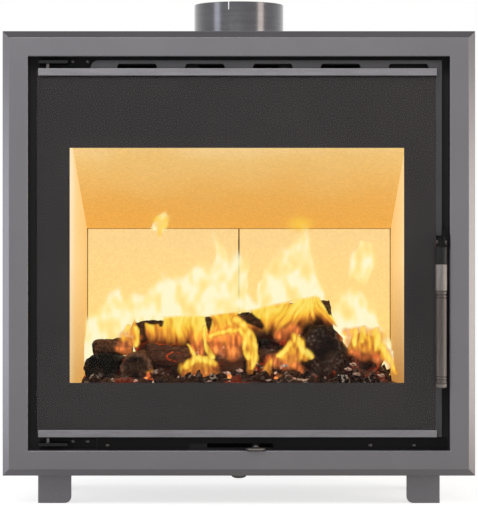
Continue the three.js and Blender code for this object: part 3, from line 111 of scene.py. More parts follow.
def make_camera():
    """The eye at the photograph's place, level with the frame's middle."""
    centre = middle("front_frame")
    per_px = VIEW_DISTANCE / FOCAL_PX
    data = bpy.data.cameras.new("photograph_view")
    data.sensor_width = SENSOR
    data.lens = FOCAL_PX / PHOTO_HEIGHT * SENSOR
    data.clip_start = 0.1
    data.clip_end = 60.0
    camera = linked("photograph_view", data)
    camera.location = (
        centre.x + (PHOTO_WIDTH / 2 - FRAME_CENTRE_PX[0]) * per_px,
        FACE - VIEW_DISTANCE,
        centre.z - (PHOTO_HEIGHT / 2 - FRAME_CENTRE_PX[1]) * per_px,
    )
    camera.rotation_euler = (math.pi / 2, 0, 0)
    bpy.context.scene.camera = camera


make_camera()


# ---- Colours and nodes ----


def linear(code):
    """An sRGB hex colour as the linear RGBA that shaders take."""
    channels = [int(code[i : i + 2], 16) / 255 for i in (1, 3, 5)]
    return (*(c / 12.92 if c <= 0.04045 else ((c + 0.055) / 1.055) ** 2.4 for c in channels), 1.0)


def per_metre(millimetres):
    """The scale at which a pattern repeats about every so many millimetres."""
    return 1 / (millimetres * MM)


def value_of(value):
    """A hex colour as linear RGBA, and any other value as it is."""
    return linear(value) if isinstance(value, str) and value.startswith("#") else value


def add(tree, kind, inputs=None, stops=None, **settings):
    """Adds a node, a shader node where kind has no prefix. inputs holds values, hex colours, sockets,
    or nodes whose first output is meant."""
    prefixed = kind.startswith(("Geometry", "Function", "NodeGroup"))
    made = tree.nodes.new(kind if prefixed else f"ShaderNode{kind}")
    for name, setting in settings.items():
        setattr(made, name, setting)
    for key, value in (inputs or {}).items():
        if isinstance(value, bpy.types.Node):
            value = value.outputs[0]
        if isinstance(value, bpy.types.NodeSocket):
            tree.links.new(value, made.inputs[key])
        else:
            made.inputs[key].default_value = value_of(value)
    for i, (place, value) in enumerate(stops or ()):
        elements = made.color_ramp.elements
        element = elements[i] if i < 2 else elements.new(place)
        element.position = place
        element.color = value_of(value) if isinstance(value, str) else (value, value, value, 1.0)
    return made


def finish_named(name):
    """An empty material and its node tree."""
    made = bpy.data.materials.new(name)
    made.use_nodes = True
    made.node_tree.nodes.clear()
    return made, made.node_tree


def place_in(tree, stretch=(1, 1, 1), centre=(0, 0, 0)):
    """Object coordinates from a centre, squeezed along each axis."""
    here = add(tree, "TexCoord").outputs["Object"]
    moved = add(tree, "VectorMath", {0: here, 1: centre}, operation="SUBTRACT")
    return add(tree, "VectorMath", {0: moved, 1: stretch}, operation="MULTIPLY").outputs[0]


# ---- Finishes ----


def stove_paint_grey():
    """Metallic silicone stove paint, sprayed and baked: satin, with fine flake and slight orange peel."""
    made, tree = finish_named("silicone stove paint, satin metallic grey")
    here = place_in(tree)
    # The flake is far finer than this, which is as fine as shows
    flake = add(tree, "TexNoise", {"Vector": here, "Scale": per_metre(1.6), "Detail": 2.0})
    cloud = add(tree, "TexNoise", {"Vector": here, "Scale": per_metre(90), "Detail": 3.0})
    speck = add(tree, "ValToRGB", {"Fac": flake}, stops=[(0.3, "#737174"), (0.7, "#828083")])
    drift = add(tree, "ValToRGB", {"Fac": cloud}, stops=[(0.3, "#78767a"), (0.7, "#7f7c80")])
    colour = add(tree, "Mix", {0: 0.5, 6: speck, 7: drift}, data_type="RGBA").outputs[2]
    rough = add(tree, "MapRange", {"Value": cloud, "To Min": 0.3, "To Max": 0.36})
    peel = add(tree, "TexNoise", {"Vector": here, "Scale": per_metre(2.4), "Detail": 1.0})
    bump = add(tree, "Bump", {"Height": peel, "Strength": 0.12, "Distance": 0.05 * MM})
    surface = add(
        tree,
        "BsdfPrincipled",
        {"Base Color": colour, "Metallic": 0.7, "Roughness": rough, "Normal": bump},
    )
    add(tree, "OutputMaterial", {"Surface": surface})
    return made


def stove_paint_black(name, dark, light, sheen=0.5):
    """Matt black paint, or steel blackened with oil: the light dies in it, apart from a soft sheen."""
    made, tree = finish_named(name)
    here = place_in(tree)
    grain = add(tree, "TexNoise", {"Vector": here, "Scale": per_metre(1.8), "Detail": 3.0})
    cloud = add(tree, "TexNoise", {"Vector": here, "Scale": per_metre(60), "Detail": 3.0})
    colour = add(tree, "ValToRGB", {"Fac": cloud}, stops=[(0.3, dark), (0.7, light)])
    rough = add(tree, "MapRange", {"Value": cloud, "To Min": 0.5, "To Max": 0.62})
    bump = add(tree, "Bump", {"Height": grain, "Strength": 0.2, "Distance": 0.06 * MM})
    surface = add(
        tree,
        "BsdfPrincipled",
        {"Base Color": colour, "Roughness": rough, "Normal": bump, "Specular IOR Level": sheen},
    )
    add(tree, "OutputMaterial", {"Surface": surface})
    return made


def brushed_steel(name, dark, light, stretch, stroke, roughness, lacquer=0.0):
    """Steel drawn through a belt: fine parallel strokes that spread the light across them."""
    made, tree = finish_named(name)
    here = place_in(tree, stretch)
    strokes = add(
        tree, "TexNoise", {"Vector": here, "Scale": per_metre(stroke), "Detail": 4.0, "Roughness": 0.65}
    )
    bands = add(tree, "TexNoise", {"Vector": here, "Scale": per_metre(8 * stroke), "Detail": 1.0})
    both = add(tree, "Mix", {0: 0.4, 2: strokes, 3: bands}, data_type="FLOAT")
    colour = add(tree, "ValToRGB", {"Fac": both}, stops=[(0.32, dark), (0.68, light)])
    rough = add(
        tree, "MapRange", {"Value": strokes, "To Min": roughness - 0.06, "To Max": roughness + 0.08}
    )
    bump = add(tree, "Bump", {"Height": strokes, "Strength": 0.25, "Distance": 0.02 * MM})
    surface = add(
        tree,
        "BsdfPrincipled",
        {
            "Base Color": colour,
            "Metallic": 1.0,
            "Roughness": rough,
            "Normal": bump,
            "Coat Weight": lacquer,
            "Coat Roughness": 0.15,
        },
    )
    add(tree, "OutputMaterial", {"Surface": surface})
    return made


def galvanised_steel():
    """Hot-dipped sheet: flat zinc crystals, each with its own grey, a few millimetres across. The faces
    that look forward lie inside the casing and are painted near-black, as painted shade for its dark
    inside."""
    made, tree = finish_named("galvanised sheet steel, spangled")
    here = place_in(tree)
    wobble = add(tree, "TexNoise", {"Vector": here, "Scale": per_metre(12), "Detail": 2.0})
    bent = add(
        tree,
        "VectorMath",
        {0: wobble.outputs["Color"], 1: (0.004, 0.004, 0.004), 2: here},
        operation="MULTIPLY_ADD",
    )
    spangle = add(tree, "TexVoronoi", {"Vector": bent, "Scale": per_metre(9), "Randomness": 1.0})
    tone = add(tree, "SeparateColor", {"Color": spangle.outputs["Color"]})
    zinc = add(tree, "ValToRGB", {"Fac": tone}, stops=[(0.0, "#9aa0a3"), (1.0, "#acb2b5")])
    way = add(tree, "NewGeometry").outputs["True Normal"]
    facing = add(tree, "SeparateXYZ", {"Vector": way}).outputs["Y"]
    # Painted shade: faces that look forward, inside the casing, turn near-black
    inside = add(tree, "Math", {0: facing, 1: -0.7}, operation="LESS_THAN")
    colour = add(tree, "Mix", {0: inside, 6: zinc, 7: "#070707"}, data_type="RGBA").outputs[2]
    rough = add(tree, "MapRange", {"Value": tone.outputs[1], "To Min": 0.34, "To Max": 0.52})
    bump = add(
        tree, "Bump", {"Height": spangle.outputs["Distance"], "Strength": 0.1, "Distance": 0.04 * MM}
    )
    surface = add(
        tree,
        "BsdfPrincipled",
        {"Base Color": colour, "Metallic": 0.9, "Roughness": rough, "Normal": bump},
    )
    add(tree, "OutputMaterial", {"Surface": surface})
    return made


def cast_iron():
    """Sand-cast iron, left raw over the fire: pitted, dull, with a bloom of rust and ash."""
    made, tree = finish_named("cast iron, raw")
    here = place_in(tree)
    pits = add(tree, "TexNoise", {"Vector": here, "Scale": per_metre(2.5), "Detail": 5.0})
    bloom = add(tree, "TexNoise", {"Vector": here, "Scale": per_metre(35), "Detail": 3.0})
    colour = add(
        tree, "ValToRGB", {"Fac": bloom}, stops=[(0.35, "#1a1818"), (0.6, "#2b2522"), (0.75, "#4a3a30")]
    )
    bump = add(tree, "Bump", {"Height": pits, "Strength": 0.6, "Distance": 0.3 * MM})
    surface = add(
        tree, "BsdfPrincipled", {"Base Color": colour, "Metallic": 0.6, "Roughness": 0.72, "Normal": bump}
    )
    add(tree, "OutputMaterial", {"Surface": surface})
    return made


def gasket_rope():
    """Woven glass-fibre rope, sooty: slanting strands that show as a fine twill."""
    made, tree = finish_named("glass-fibre rope, sooted")
    here = add(tree, "TexCoord").outputs["Object"]
    strands = add(
        tree,
        "TexWave",
        {"Vector": here, "Scale": per_metre(20), "Distortion": 1.5, "Detail": 2.0},
        bands_direction="DIAGONAL",
    )
    colour = add(tree, "ValToRGB", {"Fac": strands}, stops=[(0.2, "#1f1d1c"), (0.8, "#4b4744")])
    bump = add(tree, "Bump", {"Height": strands, "Strength": 0.7, "Distance": 0.6 * MM})
    surface = add(tree, "BsdfPrincipled", {"Base Color": colour, "Roughness": 0.92, "Normal": bump})
    add(tree, "OutputMaterial", {"Surface": surface})
    return made


def ceramic_glass():
    """Drawn and polished glass-ceramic: clear, so that only its reflections show."""
    made, tree = finish_named("glass-ceramic, clear")
    clear = add(tree, "BsdfTransparent", {"Color": "#fffdf8"})
    gloss = add(tree, "BsdfGlossy", {"Color": "#ffffff", "Roughness": 0.03})
    share = add(tree, "Fresnel", {"IOR": 1.13})
    surface = add(tree, "MixShader", {0: share, 1: clear, 2: gloss})
    add(tree, "OutputMaterial", {"Surface": surface})
    return made


def black_enamel():
    """Ceramic ink fired on the back of the glass: an even charcoal black, a little uneven over a hand's
    width where the ink lies thinner."""
    made, tree = finish_named("fired ceramic ink, black")
    drift = add(tree, "TexNoise", {"Vector": place_in(tree), "Scale": per_metre(140)})
    colour = add(tree, "ValToRGB", {"Fac": drift}, stops=[(0.3, "#3d3c43"), (0.7, "#414047")])
    surface = add(
        tree, "BsdfPrincipled", {"Base Color": colour, "Roughness": 0.6, "Specular IOR Level": 0.0}
    )
    add(tree, "OutputMaterial", {"Surface": surface})
    return made


def vermiculite(place, axis, box, stops, lit_until, strength=1.0, foot="#ffffff"):
    """Pressed vermiculite: golden flakes in a pale grain, with the fire's light on it painted in as a
    glow, warmer near the flames. The painted firelight runs through a box along one axis, goes out at a
    depth, and takes foot's tint at the embers, a painted shade where the logs shade the boards."""
    made, tree = finish_named(f"vermiculite board, {place}")
    low, high = (corner["XYZ".index(axis)] for corner in box)
    here = add(tree, "TexCoord").outputs["Object"]
    apart = add(tree, "SeparateXYZ", {"Vector": here})
    along = add(tree, "MapRange", {"Value": apart.outputs[axis], "From Min": low, "From Max": high})
    flakes = add(tree, "TexVoronoi", {"Vector": here, "Scale": per_metre(3.2)})
    grain = add(
        tree, "TexNoise", {"Vector": here, "Scale": per_metre(4.5), "Detail": 4.0, "Roughness": 0.7}
    )
    cloud = add(tree, "TexNoise", {"Vector": here, "Scale": per_metre(120), "Detail": 2.0})
    shifted = add(
        tree,
        "Math",
        {0: add(tree, "Math", {0: cloud, 1: 0.5}, operation="SUBTRACT"), 1: 0.25, 2: along},
        operation="MULTIPLY_ADD",
    )
    # The painted firelight's colour along the box
    light = add(tree, "ValToRGB", {"Fac": shifted}, stops=stops)
    fleck = add(
        tree,
        "MapRange",
        {"Value": grain, "From Min": 0.3, "From Max": 0.7, "To Min": 0.95, "To Max": 1.04},
    )
    # How strongly the painted firelight glows: full in front, none behind lit_until
    lit = add(
        tree,
        "MapRange",
        {
            "Value": apart.outputs["Y"],
            "From Min": depth(lit_until),
            "From Max": depth(lit_until + 1),
            "To Min": strength,
            "To Max": 0.0,
        },
    )
    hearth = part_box("hearth_board_front")[1].z
    rise = add(
        tree, "MapRange", {"Value": apart.outputs["Z"], "From Min": hearth, "From Max": hearth + 0.2}
    )
    # Painted shade: the firelight takes foot's darker tint near the hearth
    tint = add(tree, "ValToRGB", {"Fac": rise}, stops=[(0.0, foot), (1.0, "#ffffff")])
    grainy = add(
        tree,
        "Mix",
        {0: 1.0, 6: light, 7: add(tree, "CombineColor", {0: fleck, 1: fleck, 2: fleck})},
        data_type="RGBA",
        blend_type="MULTIPLY",
    ).outputs[2]
    glow = add(
        tree, "Mix", {0: 1.0, 6: grainy, 7: tint}, data_type="RGBA", blend_type="MULTIPLY"
    ).outputs[2]
    tone = add(tree, "SeparateColor", {"Color": flakes.outputs["Color"]})
    board = add(
        tree, "ValToRGB", {"Fac": tone}, stops=[(0.0, "#6a5436"), (0.6, "#7a6444"), (1.0, "#8a7352")]
    )
    bump = add(tree, "Bump", {"Height": grain, "Strength": 0.4, "Distance": 0.4 * MM})
    # Base Color is the board's own colour; the emission is painted firelight
    surface = add(
        tree,
        "BsdfPrincipled",
        {
            "Base Color": board,
            "Roughness": 0.95,
            "Normal": bump,
            "Emission Color": glow,
            "Emission Strength": lit,
        },
    )
    add(tree, "OutputMaterial", {"Surface": surface})
    made.cycles.emission_sampling = "NONE"
    return made


def charred_wood(name, least_ash, least_glow):
    """Wood burnt to charcoal: black, with a silky glint along the fibres, rust-brown where the heat
    has only scorched it, a bloom of white ash on what sticks out and fire in the cracks."""
    made, tree = finish_named(name)
    here = add(tree, "TexCoord").outputs["Object"]
    shape = {
        key: add(tree, "Attribute", attribute_name=key).outputs["Fac"]
        for key in ("glow", "ash", "scorch")
    }
    fibre = add(
        tree, "TexNoise", {"Vector": here, "Scale": per_metre(4), "Detail": 6.0, "Roughness": 0.72}
    )
    coal = add(
        tree, "ValToRGB", {"Fac": fibre}, stops=[(0.36, "#030202"), (0.55, "#090707"), (0.7, "#181312")]
    )
    scorch = add(tree, "TexNoise", {"Vector": here, "Scale": per_metre(42), "Detail": 3.0})
    patchy = add(tree, "MapRange", {"Value": scorch, "From Min": 0.54, "From Max": 0.68, "To Max": 0.25})
    brown = add(tree, "Math", {0: patchy, 1: shape["scorch"]}, operation="MAXIMUM")
    bark = add(tree, "ValToRGB", {"Fac": fibre}, stops=[(0.38, "#40241a"), (0.62, "#a2745a")])
    wood = add(tree, "Mix", {0: brown, 6: coal, 7: bark}, data_type="RGBA").outputs[2]
    dust = add(tree, "TexNoise", {"Vector": here, "Scale": per_metre(6), "Detail": 5.0})
    flecks = add(tree, "MapRange", {"Value": dust, "From Min": 0.5, "From Max": 0.62})
    ash = add(tree, "Math", {0: shape["ash"], 1: least_ash}, operation="ADD", use_clamp=True)
    dusty = add(tree, "Math", {0: ash, 1: flecks}, operation="MULTIPLY")
    colour = add(tree, "Mix", {0: dusty, 6: wood, 7: "#c9bfba"}, data_type="RGBA").outputs[2]
    patch = add(tree, "TexNoise", {"Vector": here, "Scale": per_metre(30), "Detail": 3.0})
    hot = add(
        tree, "MapRange", {"Value": patch, "From Min": 0.56, "From Max": 0.72, "To Max": least_glow}
    )
    heat = add(tree, "Math", {0: shape["glow"], 1: hot}, operation="MAXIMUM")
    fire = add(
        tree,
        "ValToRGB",
        {"Fac": heat},
        stops=[
            (0.0, "#000000"), (0.25, "#2c0d07"), (0.5, "#a83412"), (0.75, "#ff8a2c"), (1.0, "#ffd27a")
        ],
    )
    bump = add(tree, "Bump", {"Height": fibre, "Strength": 0.9, "Distance": 0.9 * MM})
    surface = add(
        tree,
        "BsdfPrincipled",
        {
            "Base Color": colour,
            "Roughness": 0.5,
            "Specular IOR Level": 0.04,
            "Normal": bump,
            "Emission Color": fire,
            "Emission Strength": 1.0,
        },
    )
    add(tree, "OutputMaterial", {"Surface": surface})
    made.cycles.emission_sampling = "NONE"
    return made


def flame(name, stops, thin=False):
    """Burning gas: only light, coloured by its glow. Its veil hides what is behind it, but thin gas
    adds its light to that."""
    made, tree = finish_named(name)
    glow = add(tree, "Attribute", attribute_name="glow").outputs["Fac"]
    veil = add(tree, "Attribute", attribute_name="veil").outputs["Fac"]
    colour = add(tree, "ValToRGB", {"Fac": glow}, stops=stops)
    light = add(tree, "Emission", {"Color": colour, "Strength": veil if thin else 1.0})
    clear = add(tree, "BsdfTransparent")
    if thin:
        surface = add(tree, "AddShader", {0: clear, 1: light})
    else:
        surface = add(tree, "MixShader", {0: veil, 1: clear, 2: light})
    add(tree, "OutputMaterial", {"Surface": surface})
    made.cycles.emission_sampling = "NONE"
    return made


# ---- The finish of each slot ----

FINISHES = {
    "grey_stove_paint": stove_paint_grey(),
    "black_stove_paint": stove_paint_black("silicone stove paint, matt black", "#161516", "#1e1d1e"),
    "brushed_collar_steel": brushed_steel(
        "stainless steel, drawn and burnished", "#525154", "#646366", (1, 1, 10), 8, 0.2, 0.8
    ),
    "satin_clamp_steel": brushed_steel(
        "stainless strip, satin", "#7f7d80", "#949295", (1, 10, 10), 6, 0.36
    ),
    "galvanised_sheet": galvanised_steel(),
    "polished_steel": brushed_steel("turned steel, polished", "#6a6461", "#8d8884", (8, 8, 0.5), 9, 0.5),
    "dark_brushed_steel": brushed_steel(
        "steel, darkened and brushed", "#4b4644", "#716b68", (8, 8, 0.4), 10, 0.46
    ),
    "ceramic_glass": ceramic_glass(),
    "gasket_rope": gasket_rope(),
    "cast_iron": cast_iron(),
    "charred_wood": charred_wood("charred wood", 0.0, 0.0),
    "embers": charred_wood("charcoal, glowing below", 0.06, 0.4),
}


BACK_FACE = (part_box("lining_back_left")[0].y - FACE) / MM  # how deep the back lining's face lies


def firelit_boards():
    """A finish for each lining, because the fire's light, painted into each board, falls on every wall
    along a different way.
    """
    side, back, roof = (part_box(node) for node in ("lining_left", "lining_back_left", "baffle_board"))
    wall = [(0.0, "#f0e6cc"), (0.35, "#eecb90"), (0.85, "#e6bd78"), (1.0, "#dcb06a")]
    behind = [(0.0, "#e6bd64"), (0.5, "#eed084"), (1.0, "#ecce92")]
    above = [(0.0, "#df9d3c"), (0.3, "#dba34e"), (0.65, "#e0ba74"), (1.0, "#f4e2bc")]
    below = [(0.0, "#4b3524"), (1.0, "#6a4526")]
    # foot is painted shade low on the side linings, deeper on the right; the hearth boards get a dim
    # painted glow
    left = vermiculite("left lining", "Y", side, wall, BACK_FACE - 1, foot="#e7d0a8")
    right = vermiculite("right lining", "Y", side, wall, BACK_FACE - 1, foot="#c4a478")
    rear = vermiculite("back lining", "Z", back, behind, BACK_FACE + 60)
    over = vermiculite("baffle", "Z", roof, above, BACK_FACE - 1)
    hearth = vermiculite("hearth", "Y", side, below, BACK_FACE, strength=0.4)
    return {
        "lining_left": left,
        "lining_right": right,
        "lining_back_left": rear,
        "lining_back_right": rear,
        "baffle_board": over,
        **{f"hearth_board_{edge}": hearth for edge in ("left", "right", "front", "back")},
    }


DOOR_PAINT = stove_paint_black("silicone stove paint, charcoal grey", "#39383b", "#444346")
SOOTY_STEEL = stove_paint_black("steel, blackened and oiled", "#08080a", "#0e0e10", 0.3)
SMOKED_STEEL = stove_paint_black("steel, oil-blackened", "#1a1918", "#242221")
OWN_FINISHES = {
    "door_frame": DOOR_PAINT,
    "air_slide": SMOKED_STEEL,
    **dict.fromkeys(
        ("lower_fascia", "hinge_bracket_top", "hinge_bracket_bottom", "latch_lever", "handle_bracket"),
        SOOTY_STEEL,
    ),
    **firelit_boards(),
}


def finish_of(node):
    """A node's own finish, or else its slot's."""
    return OWN_FINISHES.get(node) or FINISHES[SLOT_OF[node]]


def paint_frame():
    """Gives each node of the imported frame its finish."""
    for name, part in frame["nodes"].items():
        part.data.materials.clear()
        part.data.materials.append(finish_of(name))


paint_frame()


# ---- Making pieces ----

SAME_POINT = 0.005 * MM
SAME_FACE = math.radians(0.5)


def show(name, mesh, finish, slot, body, replaced=()):
    """Puts a finished mesh on its body and in place of the nodes that it stands for; its slot is not
    used.
    """
    mesh.materials.clear()
    mesh.materials.append(finish)
    made = linked(name, mesh)
    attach(made, body)
    if replaced:
        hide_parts(*replaced)
    return made


def stand_for(node, mesh, ending):
    """Shows a mesh in the place of one node, on its body and with that node's finish."""
    return show(
        f"{node}_{ending}", mesh, finish_of(node), SLOT_OF[node], frame["nodes"][node]["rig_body"], [node]
    )


def joined_copy(node):
    """A node's shape with its loose triangles joined and each flat face whole again."""
    shape = bmesh.new()
    shape.from_mesh(frame["nodes"][node].data)
    bmesh.ops.remove_doubles(shape, verts=shape.verts, dist=SAME_POINT)
    bmesh.ops.dissolve_limit(shape, angle_limit=SAME_FACE, verts=shape.verts, edges=shape.edges)
    shape.verts.index_update()
    corners = [vertex.co.copy() for vertex in shape.verts]
    faces = [[vertex.index for vertex in face.verts] for face in shape.faces]
    shape.free()
    mesh = bpy.data.meshes.new(node)
    mesh.from_pydata(corners, [], faces)
    return mesh


def evaluated(source, name):
    """The plain mesh that an object's modifiers make."""
    graph = bpy.context.evaluated_depsgraph_get()
    mesh = bpy.data.meshes.new_from_object(source.evaluated_get(graph))
    mesh.name = name
    return mesh


def scratch(mesh):
    """An object that only carries modifiers for a moment."""
    return linked("scratch", mesh)


def clear_scratch():
    """Removes every object that only carried modifiers, or was only copied."""
    for holder in [o for o in bpy.data.objects if o.name.startswith("scratch")]:
        bpy.data.objects.remove(holder)


# ---- Sheet metal, boards and plates with eased edges ----

EASED_FROM = 28  # degrees between two faces
# The nodes whose edges take each width of round, in millimetres
EASED_EDGES = {
    0.3: ("casing_left", "casing_right", "casing_back", "casing_top", "ash_pan", "air_slide"),
    0.4: ("recess_liner", "frame_clip"),
    0.5: (
        "lower_fascia", "foot_front_left", "foot_front_right", "foot_rear_left", "foot_rear_right",
        "hinge_bracket_top", "hinge_bracket_bottom", "latch_keeper", "door_frame", "handle_bracket",
        "door_glass",
    ),
    0.6: ("front_plate",),
    0.7: ("front_frame",),
    0.8: ("latch_lever", "lining_back_left", "lining_back_right"),
    0.9: ("glass_clamp_top", "glass_clamp_bottom"),
    1.0: ("lining_left", "lining_right"),
    1.2: ("baffle_board", "grate"),
    1.5: ("hearth_board_left", "hearth_board_right", "hearth_board_front", "hearth_board_back"),
}


def ease_edges():
    """Rolled, sawn and ground edges are never sharp: each takes a small round."""
    for width, nodes in EASED_EDGES.items():
        for node in nodes:
            mesh = joined_copy(node)
            mesh.shade_smooth()
            piece = stand_for(node, mesh, "eased")
            bevel = piece.modifiers.new("eased edges", "BEVEL")
            bevel.width = width * MM
            bevel.segments = 2
            bevel.limit_method = "ANGLE"
            bevel.angle_limit = math.radians(EASED_FROM)
            bevel.harden_normals = True


ease_edges()


# ---- Turned pieces ----

SHARP_FROM = 32  # degrees between two faces
RIM_EASE = 0.8
GRIP_BORE = 4.3
COLLAR_OUTSIDE, COLLAR_INSIDE = 75.0, 72.5
SLIT_AT, SLIT_HALF_WIDTH, SLIT_DEEP = -17, 0.75, 15


def turned_mesh(name, profile, place, steps=96, ring=False):
    """A solid turned from (radius, along) points in millimetres, which run up its outside. A ring's
    profile comes back to its start, and any other starts and ends on the axis."""
    shape = bmesh.new()
    rows = []
    for radius, level in profile:
        angles = [2 * math.pi * i / steps for i in range(steps if radius > 1e-6 else 1)]
        round_it = [(radius * MM * math.cos(a), radius * MM * math.sin(a), level * MM) for a in angles]
        rows.append([shape.verts.new(corner) for corner in round_it])
    pairs = list(zip(rows, rows[1:] + rows[:1])) if ring else list(zip(rows, rows[1:]))
    for low, high in pairs:
        for i in range(steps):
            corners = [
                low[i % len(low)], low[(i + 1) % len(low)], high[(i + 1) % len(high)], high[i % len(high)]
            ]
            unique = [c for k, c in enumerate(corners) if c not in corners[:k]]
            if len(unique) > 2:
                shape.faces.new(unique)
    bmesh.ops.recalc_face_normals(shape, faces=shape.faces)
    bmesh.ops.transform(shape, matrix=Matrix.Translation(place), verts=shape.verts)
    mesh = mesh_from(shape, name)
    keep_sharp_rims(mesh)
    return mesh


def keep_sharp_rims(mesh):
    """Shades a mesh smooth apart from its corners."""
    mesh.shade_smooth()
    mesh.set_sharp_from_angle(angle=math.radians(SHARP_FROM))


def rounded(radius, low, high, ease):
    """The outside of a turned bar with rounded rims, as (radius, along) points."""
    steps = 4
    foot = [
        (radius - ease + ease * math.sin(a), low + ease - ease * math.cos(a))
        for a in (i / steps * math.pi / 2 for i in range(steps + 1))
    ]
    head = [(r, high + low - z) for r, z in reversed(foot)]
    return foot + head


def round_bar(node):
    """An upright round node's radius, foot and head in millimetres, and where its axis stands."""
    low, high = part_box(node)
    place = middle(node)
    return (high.x - low.x) / 2 / MM, low.z / MM, high.z / MM, (place.x, place.y, 0)


def make_hinge_pins():
    """The two pins that the door swings on, their ends slightly domed."""
    for node in ("hinge_pin_top", "hinge_pin_bottom"):
        radius, foot, head, axis = round_bar(node)
        profile = [(0, foot), *rounded(radius, foot, head, RIM_EASE), (0, head)]
        stand_for(node, turned_mesh(node, profile, axis, steps=32), "turned")


def make_handle():
    """The hanging handle: bright ferrule, dark grip with turned grooves, and its end cap."""
    axis = round_bar("handle_grip")[3]
    radius, foot, head, _ = round_bar("handle_ferrule")
    outside = rounded(radius, foot, head, RIM_EASE)
    profile = [*outside, (GRIP_BORE, head), (GRIP_BORE, foot)]
    stand_for("handle_ferrule", turned_mesh("handle_ferrule", profile, axis, ring=True), "turned")
    radius, foot, head, _ = round_bar("handle_grip")
    outside = rounded(radius, foot, head, RIM_EASE)
    grooves = []
    for level in (foot + 6, foot + 11, head - 11, head - 6):
        for i in range(7):
            across = -1 + i / 3
            grooves.append((radius - 0.8 * math.sqrt(max(0, 1 - across**2)), level + 1.3 * across))
    profile = [*outside[:5], *grooves, *outside[5:], (GRIP_BORE, head), (GRIP_BORE, foot)]
    stand_for("handle_grip", turned_mesh("handle_grip", profile, axis, ring=True), "turned")
    _, foot, head, _ = round_bar("handle_end_cap")
    profile = [
        (0, foot), (radius - 2.2, foot), (radius - 1.2, foot + 0.25), (radius - 0.4, foot + 0.9),
        (radius, foot + 2), (radius, head - 0.3), (radius - 0.3, head), (GRIP_BORE, head),
        (GRIP_BORE, foot + 2.5), (0, foot + 2.5),
    ]
    stand_for("handle_end_cap", turned_mesh("handle_end_cap", profile, axis), "turned")


def make_air_knob():
    """The round disc under the frame's lower bar that the air lever is moved by, on its screw."""
    radius, foot, head, axis = round_bar("air_knob")
    profile = [
        (0, foot), (radius - 1.2, foot), (radius - 0.35, foot + 0.3), (radius, foot + 1),
        (radius, foot + 2), (radius - 0.35, foot + 2.7), (radius - 1.2, foot + 3), (2.2, foot + 3),
        (2.2, head - 2), (3.5, head - 2), (3.5, head - 0.9), (3.1, head - 0.4), (2.2, head - 0.1),
        (0, head),
    ]
    stand_for("air_knob", turned_mesh("air_knob", profile, axis, steps=64), "turned")


def make_clip_bolt():
    """The dome-headed bolt that holds the frame's clip from below."""
    radius, foot, head, axis = round_bar("frame_clip_bolt")
    seat = foot + 5.5
    dome = [
        (radius * math.sin(a), seat - 1.2 - (seat - 1.2 - foot) * math.cos(a))
        for a in (i / 10 * math.pi / 2 for i in range(11))
    ]
    profile = [*dome, (radius, seat - 0.2), (radius - 0.3, seat), (4, seat), (4, head - 0.6)]
    profile += [(3.4, head), (0, head)]
    stand_for("frame_clip_bolt", turned_mesh("frame_clip_bolt", profile, axis, steps=48), "domed")


def make_flue_collar():
    """The round spigot for the flue pipe: rolled wall, flange below, and a slit in the rim."""
    flange, foot, head, axis = round_bar("flue_collar")
    outside, inside = COLLAR_OUTSIDE, COLLAR_INSIDE
    profile = [
        (inside, foot), (flange - 0.5, foot), (flange, foot + 0.5), (flange, foot + 3.5),
        (flange - 0.5, foot + 4), (outside + 1.5, foot + 4), (outside + 0.4, foot + 4.5),
        (outside, foot + 5.6), (outside, head - 0.6), (outside - 0.5, head), (inside + 0.5, head),
        (inside, head - 0.6),
    ]
    whole = scratch(turned_mesh("flue_collar", profile, axis, steps=160, ring=True))
    shape = bmesh.new()
    bmesh.ops.create_cube(shape, size=1.0)
    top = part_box("flue_collar")[1].z
    for corner in shape.verts:
        corner.co.x = SLIT_AT * MM + math.copysign(SLIT_HALF_WIDTH * MM, corner.co.x)
        corner.co.y = axis[1] - (0.060 if corner.co.y > 0 else 0.080)
        corner.co.z = top + (0.005 if corner.co.z > 0 else -SLIT_DEEP * MM)
    slit = scratch(mesh_from(shape, "slit"))
    sawn = whole.modifiers.new("slit", "BOOLEAN")
    sawn.object = slit
    sawn.solver = "EXACT"
    mesh = evaluated(whole, "flue_collar")
    clear_scratch()
    keep_sharp_rims(mesh)
    stand_for("flue_collar", mesh, "rolled")


make_hinge_pins()
make_handle()
make_air_knob()
make_clip_bolt()
make_flue_collar()


# ---- The glass's enamelled border ----

WINDOW_LEFT, WINDOW_RIGHT = -272.3, 265.8
WINDOW_BOTTOM, WINDOW_TOP = 197.1, 575.3
INK_INSET = 0.6
INK_NEAR, INK_FAR = 0.05, 0.3  # how far behind the glass the ink's two faces lie


def make_glass_border():
    """Black ceramic ink round the clear window, on the back of the glass."""
    low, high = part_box("door_glass")
    inset = INK_INSET * MM
    edges = (low.x + inset, high.x - inset, low.z + inset, high.z - inset)
    window = (edge * MM for edge in (WINDOW_LEFT, WINDOW_RIGHT, WINDOW_BOTTOM, WINDOW_TOP))
    outer, inner = (
        [(left, bottom), (right, bottom), (right, top), (left, top)]
        for left, right, bottom, top in (edges, window)
    )
    front = high.y + INK_NEAR * MM
    behind = high.y + INK_FAR * MM
    shape = bmesh.new()
    rings = [
        [shape.verts.new((x, y, z)) for x, z in ring]
        for ring, y in ((outer, front), (inner, front), (inner, behind), (outer, behind))
    ]
    for first, second in zip(rings, rings[1:] + rings[:1]):
        for i in range(4):
            j = (i + 1) % 4
            shape.faces.new((first[i], first[j], second[j], second[i]))
    bmesh.ops.recalc_face_normals(shape, faces=shape.faces)
    mesh = mesh_from(shape, "glass_border")
    show("glass_border", mesh, black_enamel(), "ceramic_glass", "door")


make_glass_border()


# ---- Logs ----

